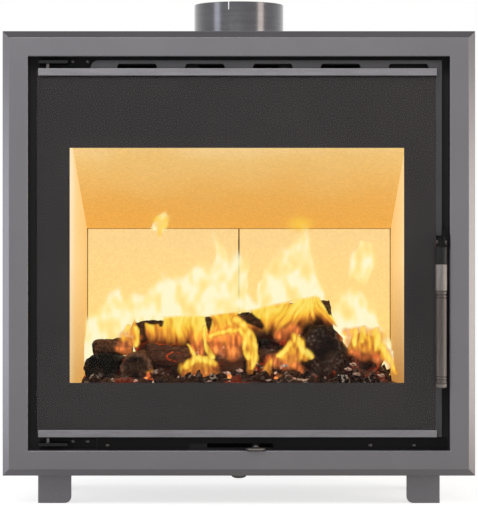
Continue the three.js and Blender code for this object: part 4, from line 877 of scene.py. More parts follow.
CHAR_LENGTH = 26.0
CHAR_WIDTH = 13.0
CHAR_CRACK = 3.2
LOG_GRID = 2.6
LOG_GIRTH = 0.028  # a log's usual radius in metres
EMBER_GRID = 2.8
KNOT = (-104, 236, 14, 8)  # a burnt-out knot's x and height, and its half width and half height


def smooth(low, high, value):
    """Goes from 0 at low to 1 at high, with no corner at either end."""
    share = min(max((value - low) / (high - low), 0.0), 1.0)
    return share * share * (3 - 2 * share)


def remeshed(node, grid):
    """A node's shape as an even net of small faces."""
    holder = scratch(joined_copy(node))
    net = holder.modifiers.new("net", "REMESH")
    net.mode = "VOXEL"
    net.voxel_size = grid * MM
    mesh = evaluated(holder, node)
    bpy.data.objects.remove(holder)
    return mesh


def long_axis(mesh):
    """A log's middle and direction: a first guess from two far corners, then from its two ends."""
    points = [v.co for v in mesh.vertices]
    centre = sum(points, Vector()) / len(points)
    far = max(points, key=lambda p: (p - centre).length_squared)
    other = max(points, key=lambda p: (p - far).length_squared)
    half = (other - far).length * 0.4
    way = (other - far).normalized()
    for _ in range(4):
        ends = [p for p in points if (p - centre).dot(way) > half]
        starts = [p for p in points if (p - centre).dot(way) < -half]
        if not ends or not starts:
            break
        way = (sum(ends, Vector()) / len(ends) - sum(starts, Vector()) / len(starts)).normalized()
    return centre, way


def store(mesh, layers):
    """Keeps, under each name, a value for each point of a mesh, which is shaded smooth."""
    for name, values in layers.items():
        mesh.attributes.new(name, "FLOAT", "POINT").data.foreach_set("value", values)
    mesh.shade_smooth()


def char_log(node, seed, ashy, glowing, scorched, fatter):
    """Bark and wood shrunk into charred blocks, with cracks along and across the grain."""
    mesh = remeshed(node, LOG_GRID)
    centre, way = long_axis(mesh)
    side = way.cross(Vector((0, 0, 1))).normalized()
    up = side.cross(way)
    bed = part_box("ember_bed")[1].z
    normals = [v.normal.copy() for v in mesh.vertices]
    shift = Vector((seed * 3.7, seed * 1.3, seed * 7.1))
    layers = {name: [] for name in ("glow", "ash", "scorch")}
    for vertex, normal in zip(mesh.vertices, normals):
        away = vertex.co - centre
        along = away.dot(way)
        across = away - way * along
        radius = max(across.length, 1e-6)
        angle = math.atan2(across.dot(up), across.dot(side))
        end = smooth(0.75, 0.95, abs(normal.dot(way)))
        if end > 0.5:
            cell = Vector((radius / (9 * MM), angle * 2.2, 0)) + shift
        else:
            turns = LOG_GIRTH / (CHAR_WIDTH * MM)
            cell = Vector((along / (CHAR_LENGTH * MM), math.cos(angle) * turns, math.sin(angle) * turns))
            cell += shift
        gaps = noise.voronoi(cell)[0]
        crack = 1 - smooth(0.0, 0.22, gaps[1] - gaps[0])
        lumps = noise.fractal(vertex.co / (26 * MM) + shift, 1.0, 2.0, 4)
        fibres = noise.noise(Vector((along / (30 * MM), angle * 9, radius / (5 * MM))) + shift)
        push = 1.6 * lumps + 0.7 * fibres - CHAR_CRACK * crack * (0.5 if end > 0.5 else 1.0)
        place = vertex.co / MM
        ring = knot_ring(place) if node == "log_middle" and normal.y < 0 else 0.0
        vertex.co += normal * (min(push, 2.2) + fatter + 1.5 * ring) * MM
        if node == "log_back" and normal.z > 0:
            vertex.co.z -= burnt_hollow(place.x) * normal.z * MM
        low = 1 - smooth(4 * MM, 30 * MM, vertex.co.z - bed)
        patch = smooth(0.05, 0.45, noise.noise(vertex.co / (24 * MM) - shift))
        rim = smooth(0.5, 0.9, radius / LOG_GIRTH) * end
        heat = glowing * low * (0.85 * crack + 0.55 * patch)
        layers["glow"].append(min(1.0, max(heat, 0.78 * ring)))
        layers["ash"].append(min(1.0, ashy * (0.5 * rim + 0.45 * patch * (1 - crack))))
        layers["scorch"].append(scorched * (1 - 0.6 * crack) * (rim if end > 0.5 else 0.8))
    store(mesh, layers)
    stand_for(node, mesh, "charred")


def knot_ring(place):
    """The rim of a burnt-out knot in the middle log, hottest on its left and cold away from it."""
    x, z, wide, tall = KNOT
    away = math.hypot((place.x - x) / wide, (place.z - z) / tall)
    uneven = 0.72 + 0.5 * noise.noise(place / 8) - 0.3 * smooth(-0.6, 0.8, (place.x - x) / wide)
    return uneven * (1 - smooth(0.0, 0.3, abs(away + 0.12 * noise.noise(place / 6) - 1)))


def burnt_hollow(x):
    """How far the fire has eaten the back log down, in millimetres: most in its middle."""
    return 2.5 + 9.5 * smooth(-190, -60, x) * (1 - smooth(10, 115, x))


# How each log has burnt: its seed, ash, glow, share of brown wood, and bark left outside its solid
LOG_LOOKS = {
    "log_left_outer": (1, 0.1, 0.0, 0.0, 0.0),
    "log_left_inner": (2, 0.2, 0.0, 0.95, 0.0),
    "log_low": (3, 0.1, 0.3, 0.35, 0.0),
    "log_right_front": (4, 0.2, 0.1, 0.12, 0.0),
    "log_right_outer": (5, 0.3, 0.35, 0.6, 0.0),
    "log_middle": (6, 0.1, 0.25, 0.5, 0.0),
    "log_back": (7, 0.15, 0.4, 0.3, 0.0),
    "branch_left": (8, 0.1, 0.0, 0.7, 3.0),
}

for log, look in LOG_LOOKS.items():
    char_log(log, *look)


# ---- Embers ----


def make_ember_bed():
    """Broken charcoal on the grate, glowing in its gaps and whitened with ash on top."""
    mesh = remeshed("ember_bed", EMBER_GRID)
    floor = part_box("ember_bed")[0].z
    normals = [vertex.normal.copy() for vertex in mesh.vertices]
    layers = {name: [] for name in ("glow", "ash")}
    for vertex, normal in zip(mesh.vertices, normals):
        cell = Vector((vertex.co.x, vertex.co.y, 0)) / (15 * MM)
        gaps = noise.voronoi(cell)[0]
        crack = 1 - smooth(0.0, 0.35, gaps[1] - gaps[0])
        lump = noise.fractal(vertex.co / (20 * MM), 1.0, 2.0, 3)
        if normal.z > 0.2 and vertex.co.z > floor + 1.5 * MM:
            vertex.co.z += (2.4 * (1 - crack) + 1.4 * lump + 2.0) * MM
        patch = smooth(-0.1, 0.4, noise.noise(vertex.co / (45 * MM)))
        white = smooth(0.1, 0.4, noise.noise(vertex.co / (16 * MM) + Vector((9, 4, 2))))
        layers["glow"].append(0.4 * (0.25 + 0.75 * patch) * (0.3 + 0.7 * crack))
        layers["ash"].append(0.9 * white * (1 - crack))
    store(mesh, layers)
    return stand_for("ember_bed", mesh, "glowing")


EMBER_BED = make_ember_bed()


# ---- What repeats, and the charcoal and ash ----

LEAST_UPWARD = 0.35  # the least z of the normal of a face that pieces lie on
MOST_DENSE = 9000.0  # pieces on a square metre
LUMP_CORNERS = 17


def node_group(name, sockets):
    """An empty Geometry Nodes tree with these inputs besides its geometry, and where it starts."""
    tree = bpy.data.node_groups.new(name, "GeometryNodeTree")
    tree.interface.new_socket("Geometry", in_out="OUTPUT", socket_type="NodeSocketGeometry")
    tree.interface.new_socket("Geometry", in_out="INPUT", socket_type="NodeSocketGeometry")
    for label, kind in sockets.items():
        tree.interface.new_socket(label, in_out="INPUT", socket_type=f"NodeSocket{kind}")
    return tree, tree.nodes.new("NodeGroupInput")


def strewn_tree():
    """Strews pieces over a surface's upward faces, each one turned and sized by chance."""
    tree, given = node_group(
        "strewn pieces",
        {
            "Piece A": "Object",
            "Piece B": "Object",
            "Piece C": "Object",
            "Apart": "Float",
            "Least Size": "Float",
            "Most Size": "Float",
            "Seed": "Int",
            "Finish": "Material",
        },
    )
    wanted = given.outputs
    up = add(tree, "SeparateXYZ", {0: add(tree, "GeometryNodeInputNormal")}).outputs["Z"]
    upward = add(tree, "FunctionNodeCompare", {0: up, 1: LEAST_UPWARD}, operation="GREATER_THAN")
    spots = add(
        tree,
        "GeometryNodeDistributePointsOnFaces",
        {
            "Mesh": wanted["Geometry"],
            "Selection": upward,
            "Distance Min": wanted["Apart"],
            "Density Max": MOST_DENSE,
            "Seed": wanted["Seed"],
        },
        distribute_method="POISSON",
    )
    shapes = add(tree, "GeometryNodeJoinGeometry")
    for label in ("Piece C", "Piece B", "Piece A"):
        shape = add(tree, "GeometryNodeObjectInfo", {"Object": wanted[label], "As Instance": True})
        tree.links.new(shape.outputs["Geometry"], shapes.inputs[0])
    turn = add(
        tree,
        "FunctionNodeRandomValue",
        {0: (0.0, 0.0, 0.0), 1: (6.28, 6.28, 6.28), "Seed": wanted["Seed"]},
        data_type="FLOAT_VECTOR",
    )
    size = add(
        tree,
        "FunctionNodeRandomValue",
        {2: wanted["Least Size"], 3: wanted["Most Size"], "Seed": wanted["Seed"]},
        data_type="FLOAT",
    )
    strewn = add(
        tree,
        "GeometryNodeInstanceOnPoints",
        {
            "Points": spots,
            "Instance": shapes,
            "Pick Instance": True,
            "Rotation": turn,
            "Scale": size.outputs[1],
        },
    )
    whole = add(tree, "GeometryNodeRealizeInstances", {"Geometry": strewn})
    done = add(tree, "GeometryNodeSetMaterial", {"Geometry": whole, "Material": wanted["Finish"]})
    add(tree, "NodeGroupOutput", {0: done})
    return tree


def placed_tree():
    """Puts one piece at every point, turned alike."""
    tree, given = node_group(
        "placed pieces", {"Piece": "Object", "Turn": "Rotation", "Finish": "Material"}
    )
    wanted = given.outputs
    piece = add(tree, "GeometryNodeObjectInfo", {"Object": wanted["Piece"], "As Instance": True})
    placed = add(
        tree,
        "GeometryNodeInstanceOnPoints",
        {"Points": wanted["Geometry"], "Instance": piece.outputs["Geometry"], "Rotation": wanted["Turn"]},
    )
    whole = add(tree, "GeometryNodeRealizeInstances", {"Geometry": placed})
    done = add(tree, "GeometryNodeSetMaterial", {"Geometry": whole, "Material": wanted["Finish"]})
    add(tree, "NodeGroupOutput", {0: done})
    return tree


STREWN = strewn_tree()
PLACED = placed_tree()


def repeated(name, start, tree, values):
    """The mesh that a tree makes of a start mesh with these inputs."""
    holder = scratch(start)
    nodes = holder.modifiers.new("repeat", "NODES")
    nodes.node_group = tree
    for item in tree.interface.items_tree:
        if item.in_out == "INPUT" and item.name in values:
            nodes[item.identifier] = values[item.name]
    mesh = evaluated(holder, name)
    bpy.data.objects.remove(holder)
    return mesh


def show_repeated(name, start, tree, values, finish, slot):
    """Shows as one piece what a tree makes of a start mesh."""
    show(name, repeated(name, start, tree, {**values, "Finish": finish}), finish, slot, "root")


def lump_mesh(name, seed, long, flat):
    """A broken lump with flat, sharp faces: the hull of points strewn over an egg, 1 mm in size."""
    chance = random.Random(seed)
    shape = bmesh.new()
    for _ in range(LUMP_CORNERS):
        way = Vector([chance.gauss(0, 1) for _ in range(3)]).normalized()
        reach = chance.uniform(0.8, 1.05) * MM
        shape.verts.new((way.x * long * reach, way.y * reach, way.z * flat * reach))
    hull = bmesh.ops.convex_hull(shape, input=shape.verts)
    inside = [v for v in hull["geom_interior"] if isinstance(v, bmesh.types.BMVert)]
    bmesh.ops.delete(shape, geom=inside, context="VERTS")
    bmesh.ops.recalc_face_normals(shape, faces=shape.faces)
    return scratch(mesh_from(shape, name))


def points_mesh(places):
    """Loose points at (x, depth, height) in millimetres."""
    mesh = bpy.data.meshes.new("places")
    mesh.from_pydata([(x * MM, depth(back), z * MM) for x, back, z in places], [], [])
    return mesh


def wood_ash():
    """Burnt-out wood: chalk-white and powdery, with a little pink painted in as a glow, for the coals'
    light from below.
    """
    made, tree = finish_named("wood ash")
    here = place_in(tree)
    powder = add(tree, "TexNoise", {"Vector": here, "Scale": per_metre(5), "Detail": 4.0})
    colour = add(
        tree, "ValToRGB", {"Fac": powder}, stops=[(0.35, "#5a4a46"), (0.5, "#b3a19c"), (0.65, "#e6dcd8")]
    )
    # Painted light: the coals' pink glow from below, as emission
    lit = add(tree, "ValToRGB", {"Fac": powder}, stops=[(0.4, "#1c0c08"), (0.6, "#8f6a60")])
    bump = add(tree, "Bump", {"Height": powder, "Strength": 0.5, "Distance": 0.5 * MM})
    surface = add(
        tree,
        "BsdfPrincipled",
        {
            "Base Color": colour,
            "Roughness": 0.95,
            "Normal": bump,
            "Emission Color": lit,
            "Emission Strength": 0.8,
        },
    )
    add(tree, "OutputMaterial", {"Surface": surface})
    made.cycles.emission_sampling = "NONE"
    return made


def glowing_coal():
    """A coal at full heat: orange through and through, paler where the ash on it has flaked off."""
    made, tree = finish_named("glowing coal")
    here = place_in(tree)
    crust = add(tree, "TexNoise", {"Vector": here, "Scale": per_metre(7), "Detail": 5.0})
    fire = add(
        tree,
        "ValToRGB",
        {"Fac": crust},
        stops=[(0.35, "#4a120a"), (0.48, "#d2541e"), (0.58, "#f8a052"), (0.7, "#ffd9a0")],
    )
    surface = add(
        tree,
        "BsdfPrincipled",
        {"Base Color": "#1a0d0a", "Roughness": 0.9, "Emission Color": fire, "Emission Strength": 1.0},
    )
    add(tree, "OutputMaterial", {"Surface": surface})
    made.cycles.emission_sampling = "NONE"
    return made


# Where coals glow and ash lies at the front of the bed, as (x, depth, height)
HOT_COALS = [
    (-150, 78, 199), (-141, 77, 197), (-146, 80, 206), (-14, 84, 203), (-4, 78, 197), (30, 76, 199),
    (62, 84, 200),
]
UNDER_LOG = [(50, 196, 254), (30, 200, 250), (-4, 204, 244)]
PALE_ASH = [
    (-170, 72, 197), (-46, 72, 196), (-36, 74, 197), (-20, 80, 210), (-12, 76, 196), (0, 82, 214),
    (48, 74, 198), (74, 78, 222), (80, 74, 199), (88, 76, 200), (97, 72, 199), (104, 72, 198),
    (114, 72, 199), (122, 72, 200), (178, 82, 216), (186, 80, 224), (192, 84, 208), (232, 80, 206),
]


def coal_of_size(lump, size):
    """A lump so many times its size."""
    mesh = lump.data.copy()
    mesh.transform(Matrix.Scale(size, 4))
    return scratch(mesh)


def make_charcoal():
    """Lumps of charcoal over the whole bed, bits of ash between them, and those that stand out."""
    lumps = [
        lump_mesh("lump_a", 11, 1.5, 0.8),
        lump_mesh("lump_b", 12, 1.1, 0.9),
        lump_mesh("lump_c", 13, 1.9, 0.7),
    ]
    pieces = dict(zip(("Piece A", "Piece B", "Piece C"), lumps))
    charcoal, ash, hot = FINISHES["embers"], wood_ash(), glowing_coal()
    for name, finish, apart, least, most, seed in (
        ("charcoal_lumps", charcoal, 13, 6.0, 12.0, 3), ("ash_flakes", ash, 26, 1.6, 4.0, 8)
    ):
        values = {**pieces, "Apart": apart * MM, "Least Size": least, "Most Size": most, "Seed": seed}
        bed = EMBER_BED.data.copy()
        show_repeated(name, bed, STREWN, values, finish, "embers")
    for name, finish, places, lump, size, turn in (
        ("hot_coals", hot, HOT_COALS, lumps[1], 7.5, (0.4, 0.9, 0.2)),
        ("charcoal_under_log", charcoal, UNDER_LOG, lumps[0], 13.0, (0.1, 0.2, 0.1)),
        ("pale_ash", ash, PALE_ASH, lumps[2], 4.6, (0.2, 0.1, 0.5)),
    ):
        values = {"Piece": coal_of_size(lump, size), "Turn": turn}
        show_repeated(name, points_mesh(places), PLACED, values, finish, "embers")
    clear_scratch()


make_charcoal()


# ---- Screws and rivets ----

SCREW_HEAD = 7.0
RIVET_HEAD = 4.8
HINGE_SCREWS = (-269, -245)
FASCIA_SCREWS = (-213, 213, 284)
CASING_RIVETS = 6  # in each row
RIVETS_FROM_EDGE = 9
RIVETS_FROM_ENDS = 40
LID_RIVETS_FROM_ENDS = 30
BRACKET_SHEET = 3.0


def fastener(width, tall, socket):
    """A domed head that looks along +Z. Its round socket has this radius, and 0 leaves it out."""
    radius = width / 2
    dome = [(radius * math.cos(a), tall * math.sin(a)) for a in (i / 5 * math.pi / 2 for i in range(5))]
    profile = [(0, -0.3), (radius, -0.3), *dome]
    if socket:
        profile += [(socket, tall * 0.9), (socket, tall * 0.3), (0, tall * 0.3)]
    else:
        profile += [(0, tall)]
    return scratch(turned_mesh("fastener", profile, (0, 0, 0), steps=24))


def spread(low, high, count):
    """So many places from low to high, evenly apart."""
    return [low + (high - low) * i / (count - 1) for i in range(count)]


def make_fasteners():
    """Screws in the hinge plates and the fascia, and rivets along the casing's edges."""
    screw = fastener(SCREW_HEAD, 1.8, 1.9)
    rivet = fastener(RIVET_HEAD, 1.3, 0)
    high = middle("hinge_bracket_top").z / MM
    low = middle("hinge_bracket_bottom").z / MM
    plate_face = (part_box("hinge_bracket_top")[1].y - FACE) / MM - BRACKET_SHEET
    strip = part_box("lower_fascia")[0]
    in_front = [(x, plate_face, z) for x in HINGE_SCREWS for z in (high + 2.5, low + 3)]
    in_front += [(x, (strip.y - FACE) / MM, strip.z / MM + 6.5) for x in FASCIA_SCREWS]
    near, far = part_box("casing_left")
    levels = spread(near.z / MM + RIVETS_FROM_ENDS, far.z / MM - RIVETS_FROM_ENDS, CASING_RIVETS)
    front = (near.y - FACE) / MM + RIVETS_FROM_EDGE
    back = (far.y - FACE) / MM - RIVETS_FROM_EDGE
    left, right = near.x / MM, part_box("casing_right")[1].x / MM
    lid_near, lid_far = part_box("casing_top")
    inset = LID_RIVETS_FROM_ENDS
    across = spread(lid_near.x / MM + inset, lid_far.x / MM - inset, CASING_RIVETS)
    on_left, on_right = ([(x, at, z) for z in levels for at in (front, back)] for x in (left, right))
    on_top = [(x, back, lid_far.z / MM) for x in across]
    quarter = math.pi / 2
    for name, piece, slot, turn, places in (
        ("front_screws", screw, "polished_steel", (quarter, 0, 0), in_front),
        ("casing_left_rivets", rivet, "galvanised_sheet", (0, -quarter, 0), on_left),
        ("casing_right_rivets", rivet, "galvanised_sheet", (0, quarter, 0), on_right),
        ("casing_top_rivets", rivet, "galvanised_sheet", (0, 0, 0), on_top),
    ):
        values = {"Piece": piece, "Turn": turn}
        show_repeated(name, points_mesh(places), PLACED, values, FINISHES[slot], slot)
    clear_scratch()


make_fasteners()


# ---- Flames ----

FLAME_EDGE = 0.02  # the veil under which a flame has no thickness
FLAME_WAVE = 7  # how far a sheet bends forwards and back
BELOW_ALL = -1000.0


def height_over(x, outline):
    """How high a broken line of (x, height) points stands over x."""
    for (x0, z0), (x1, z1) in zip(outline, outline[1:]):
        if x0 <= x < x1:
            return z0 + (z1 - z0) * (x - x0) / (x1 - x0)
    return BELOW_ALL


def lick_heat(x, z, licks):
    """How hot the flame is at a point: each lick is a bent stroke of (x, z, radius) points."""
    hottest = 0.0
    for lick in licks:
        for (x0, z0, r0), (x1, z1, r1) in zip(lick, lick[1:]):
            across, up = x1 - x0, z1 - z0
            share = ((x - x0) * across + (z - z0) * up) / (across**2 + up**2)
            share = min(max(share, 0.0), 1.0)
            away = math.hypot(x - x0 - across * share, z - z0 - up * share)
            hottest = max(hottest, 1 - (away / (r0 + (r1 - r0) * share)) ** 2)
    return hottest


def turbulence(x, z, shift, across, tall):
    """Noise stretched upwards, as rising gas draws it, from -1 to 1."""
    return noise.noise(Vector((x / across, 0.0, z / tall)) + shift)


def make_flames(name, finish, behind, span, grid, flame_at, thickness, lean):
    """One sheet of flame, thickest where it is densest and closed along its rim. span is its left,
    right, bottom and top, and flame_at gives the glow and the veil at a place in it."""
    left, right, bottom, top = span
    columns = int((right - left) / grid) + 1
    rows = int((top - bottom) / grid) + 1
    here = {}
    for i in range(columns):
        for k in range(rows):
            glow, veil = flame_at(left + i * grid, bottom + k * grid)
            inside = 0 < i < columns - 1 and 0 < k < rows - 1
            here[i, k] = (min(max(glow, 0.0), 1.0), min(max(veil, 0.0), 0.98) if inside else 0.0)
    shape = bmesh.new()
    layers = [shape.verts.layers.float.new(key) for key in ("glow", "veil")]

    def corner(i, k, face):
        glow, veil = here[i, k]
        x = left + i * grid
        z = bottom + k * grid
        wave = FLAME_WAVE * noise.noise(Vector((x / 50, behind, z / 70))) + lean * x
        half = face * thickness * max(veil - FLAME_EDGE, 0)
        vertex = shape.verts.new((x * MM, depth(behind + wave + half), z * MM))
        vertex[layers[0]] = glow
        vertex[layers[1]] = 1 - math.sqrt(1 - veil)  # a look through the sheet meets two faces
        return vertex

    kept = [
        (i, k)
        for i in range(columns - 1)
        for k in range(rows - 1)
        if max(here[i + a, k + b][1] for a, b in ((0, 0), (1, 0), (0, 1), (1, 1))) > FLAME_EDGE
    ]
    front, back = {}, {}
    for i, k in kept:
        for at in ((i, k), (i + 1, k), (i + 1, k + 1), (i, k + 1)):
            if at not in front:
                front[at] = corner(*at, -1)
                thin = here[at][1] <= FLAME_EDGE
                back[at] = front[at] if thin else corner(*at, 1)
    for i, k in kept:
        around = ((i, k), (i + 1, k), (i + 1, k + 1), (i, k + 1))
        shape.faces.new([front[at] for at in around])
        far = [back[at] for at in reversed(around)]
        if set(far) != {front[at] for at in around}:
            shape.faces.new(far)
    mesh = mesh_from(shape, name)
    mesh.shade_smooth()
    show(name, mesh, finish, "embers", "root")


PALE_FLAME = flame(
    "burning wood gas, pale and distant",
    [(0.0, "#ffdc8c"), (0.4, "#ffeb9c"), (0.7, "#fff4b4"), (1.0, "#fffcda")],
)
YELLOW_FLAME = flame(
    "burning wood gas, yellow",
    [(0.0, "#87401c"), (0.25, "#d07c34"), (0.5, "#f5ab3a"), (0.7, "#fed148"), (1.0, "#ffea72")],
)

THIN_FLAME = flame(
    "burning wood gas, thin and orange",
    [(0.0, "#6a3016"), (0.4, "#b06030"), (0.7, "#e09040"), (1.0, "#ffc060")],
    thin=True,
)

# The crest of the flames behind the back log, left to right
BACK_CREST = [
    (-264, 250), (-256, 300), (-232, 325), (-218, 340), (-203, 358), (-189, 328), (-172, 336),
    (-158, 352), (-137, 360), (-118, 372), (-98, 368), (-86, 384), (-60, 392), (-50, 400), (-46, 424),
    (-37, 444), (-29, 424), (-19, 398), (3, 412), (15, 396), (22, 330), (34, 318), (40, 384),
    (59, 408), (86, 416), (96, 440), (103, 452), (114, 440), (122, 408), (132, 384), (145, 358),
    (150, 320), (158, 312), (166, 336), (181, 344), (204, 348), (220, 326), (243, 310), (254, 280),
    (262, 250),
]
BACK_LICKS = [
    [(206, 372, 18), (212, 392, 24), (218, 408, 16), (220, 428, 7)],
    [(-138, 450, 9), (-128, 462, 10), (-124, 470, 5)],
]
FLAME_FOOT = 200.0


def back_flame(x, z):
    """The tall pale flames against the back lining: dense clouds with soft edges."""
    shift = Vector((5.3, 0, 2.9))
    warped = x + 12 * turbulence(x, z, shift, 34, 60) + 4 * turbulence(x, z, -shift, 11, 20)
    lifted = z + 14 * turbulence(x, z, -shift, 22, 50)
    crest = height_over(warped, BACK_CREST)
    body = smooth(0, 1, (crest + 8 - lifted) / 28)
    loose = smooth(0, 0.7, lick_heat(warped, lifted, BACK_LICKS))
    clouds = turbulence(x, z, shift * 2, 24, 36) + 0.6 * turbulence(x, z, shift * 3, 11, 18)
    high = smooth(0.1, 1.0, (z - FLAME_FOOT) / 230)
    veil = max(body, loose) * (1.05 - 0.25 * high + 0.42 * clouds) * smooth(0, 25, z - FLAME_FOOT)
    return 0.55 + 0.3 * body + 0.75 * clouds, veil


LOOSE_LICKS = [
    [(-139, 462, 9), (-125, 462, 9)], [(-138, 455, 9), (-126, 454, 8)], [(-136, 448, 6), (-136, 438, 4)]
]
LINING_GLOW = (105, 455, 34)


def loose_flame(x, z):
    """A scrap of flame that has broken away, and the glow of a tip that licks at the baffle."""
    shift = Vector((1.3, 0, 4.1))
    warped = x + 3 * turbulence(x, z, shift, 16, 24)
    scrap = 0.85 * smooth(0, 1.0, lick_heat(warped, z, LOOSE_LICKS))
    at, up, reach = LINING_GLOW
    away = math.hypot((x - at) / reach, (z - up) / (reach * 0.6))
    tip = 0.7 * smooth(0, 1, 1 - away)
    clouds = turbulence(x, z, shift, 12, 14)
    return 0.72 + 0.2 * clouds, max(scrap * (0.95 + 0.3 * clouds), tip)


# The flames that wrap the back log: their upper and lower edge, and how yellow they burn along it
VEIL_TOP = [
    (-184, 268), (-178, 290), (-174, 298), (-156, 302), (-126, 302), (-100, 304), (-57, 304),
    (-29, 308), (1, 311), (21, 314), (39, 319), (60, 324), (84, 329), (103, 333), (128, 338),
    (135, 334), (148, 320), (153, 308), (166, 282),
]
VEIL_FOOT = [
    (-184, 262), (-165, 258), (-151, 249), (-123, 249), (-81, 247), (-43, 244), (-18, 240), (2, 246),
    (28, 272), (46, 268), (70, 266), (96, 270), (112, 280), (127, 289), (143, 288), (166, 279),
]
VEIL_GLOW = [
    (-184, 60), (-150, 62), (-128, 72), (-118, 104), (-60, 110), (-44, 78), (-2, 70), (20, 84),
    (30, 104), (127, 104), (166, 90),
]
# Charred wood that shows between them
VEIL_GAPS = [
    [(-168, 294, 8), (-130, 295, 7)],
    [(-130, 294, 7), (-129, 288, 5)],
    [(-165, 292, 11), (-161, 268, 7), (-157, 250, 7)],
    [(-50, 296, 8), (-50, 288, 7), (-51, 273, 3)],
    [(4, 300, 9), (17, 298, 13), (30, 290, 10), (38, 284, 6)],
    [(137, 330, 3), (146, 318, 4), (151, 306, 3)],
    [(88, 323, 2), (97, 325, 2)],
]


def log_flame(x, z):
    """Yellow flame that clings to the back log, orange and thin along its lower edge."""
    shift = Vector((10.6, 0, 5.8))
    warped = x + 3 * turbulence(x, z, shift, 14, 30)
    lifted = z + 3 * turbulence(x, z, -shift, 12, 20)
    top = height_over(x, VEIL_TOP)
    foot = height_over(x, VEIL_FOOT) - 9 * max(turbulence(x, 0, shift, 9, 30), -0.3)
    if top < foot:
        return 0.0, 0.0
    share = (lifted - foot) / (top - foot)
    fan = smooth(45, 70, x) * (0.7 - 1.7 * smooth(105, 135, x))
    drawn = warped + 5 * turbulence(x, z, shift * 2, 30, 24) - fan * (z - 290)
    streaks = turbulence(drawn, z, shift * 2, 9, 40) + 0.7 * turbulence(drawn, z, shift * 3, 4, 18)
    gap = smooth(0.05, 0.6, lick_heat(warped, lifted, VEIL_GAPS))
    veil = smooth(0, 6, top - z) * smooth(0.0, 0.45, share) * (0.98 + 0.15 * streaks) * (1 - gap)
    yellow = height_over(x, VEIL_GLOW) / 100
    return yellow * (0.2 + 0.6 * smooth(0.1, 0.8, share)) + 0.42 * streaks, veil


# The flames in front, as strokes: thin brown gas, the orange body and its bright yellow rims
THIN_GAS = [
    [(-84, 203, 18), (-64, 200, 21), (-44, 203, 18)],
    [(-72, 264, 12), (-66, 244, 14)],
    [(-44, 270, 17), (-20, 268, 24), (6, 262, 20)],
    [(-40, 250, 16), (-12, 246, 22)],
    [(56, 230, 16), (86, 228, 18), (100, 216, 10)],
    [(66, 272, 12), (92, 278, 14)],
    [(-190, 256, 12), (-180, 262, 15), (-168, 268, 12)],
    [(-200, 250, 8), (-184, 246, 12)],
    [(172, 270, 13), (184, 274, 12)],
    [(188, 246, 12), (212, 242, 17), (232, 234, 12)],
]
ORANGE_BODY = [
    [(-86, 215, 16), (-66, 219, 23), (-46, 215, 16)],
    [(-5, 296, 10), (5, 284, 13), (14, 266, 14), (18, 248, 12), (22, 230, 10), (18, 214, 8)],
    [(-48, 268, 7), (-30, 276, 9), (-8, 282, 10)],
    [(94, 258, 18), (91, 246, 24)],
    [(74, 239, 12), (110, 238, 11)],
    [(54, 228, 6), (46, 214, 8), (50, 203, 8), (62, 200, 8), (78, 200, 7)],
    [(-153, 200, 6), (-146, 209, 9), (-138, 200, 6)],
    [(178, 276, 11), (204, 272, 17), (230, 268, 15)],
    [(184, 260, 14), (206, 256, 18), (228, 252, 16)],
    [(230, 254, 12), (240, 242, 11), (249, 226, 9), (255, 210, 6)],
    [(-188, 270, 11), (-177, 276, 15), (-170, 260, 10)],
]
YELLOW_RIMS = [
    [(-88, 219, 6), (-75, 231, 8), (-56, 233, 8), (-42, 224, 6)],
    [(-57, 286, 3), (-56, 264, 4), (-50, 246, 6), (-47, 236, 7)],
    [(-81, 256, 2), (-76, 244, 3), (-75, 236, 4)],
    [(-4, 298, 5), (10, 287, 6), (19, 269, 6), (25, 250, 6), (27, 230, 5), (20, 217, 3)],
    [(1, 281, 5), (10, 266, 5), (10, 250, 4), (16, 234, 4)],
    [(-46, 270, 3), (-28, 277, 4), (-8, 281, 4)],
    [(92, 267, 9), (101, 260, 8), (105, 246, 7), (118, 236, 5)],
    [(84, 258, 6), (72, 244, 5), (66, 238, 4)],
    [(192, 279, 5), (189, 258, 6)],
    [(203, 282, 5), (203, 262, 5)],
    [(226, 279, 7), (226, 250, 8)],
    [(230, 256, 6), (240, 245, 6), (249, 228, 6), (255, 210, 4)],
    [(-169, 284, 4), (-166, 268, 5), (-168, 254, 3)],
    [(-186, 278, 3), (-179, 286, 4)],
]


def thin_gas(x, z):
    """The brown and orange light over the charred wood between the licks."""
    shift = Vector((7.9, 0, 3.7))
    warped = x + 7 * turbulence(x, z, shift, 20, 36)
    lifted = z + 5 * turbulence(x, z, -shift, 14, 24)
    streaks = turbulence(x, z, shift * 2, 7, 22) + 0.6 * turbulence(x, z, shift * 3, 4, 12)
    dense = smooth(0, 1.1, lick_heat(warped, lifted, THIN_GAS))
    return 0.35 + 0.3 * streaks, dense * (0.9 + 0.35 * streaks)


def front_flame(x, z):
    """The licks over the embers in front: bright rims round an orange body."""
    shift = Vector((15.9, 0, 8.7))
    warped = x + 4 * turbulence(x, z, shift, 16, 30) + 2 * turbulence(x, z, -shift, 6, 12)
    lifted = z + 3 * turbulence(x, z, -shift, 12, 20)
    body = smooth(0, 0.9, lick_heat(warped, lifted, ORANGE_BODY))
    rims = lick_heat(warped, lifted, YELLOW_RIMS)
    streaks = turbulence(x, z, shift * 2, 6, 24) + 0.7 * turbulence(x, z, shift * 3, 3.5, 11)
    low = smooth(200, 232, z)
    glow = 0.3 + 0.14 * low + 0.42 * rims * (0.6 + 0.4 * low) + 0.34 * streaks
    veil = 1 - (1 - 0.82 * body * (0.4 + 0.6 * low)) * (1 - 0.9 * smooth(0, 0.8, rims))
    return glow, veil * (1 + 0.3 * streaks)


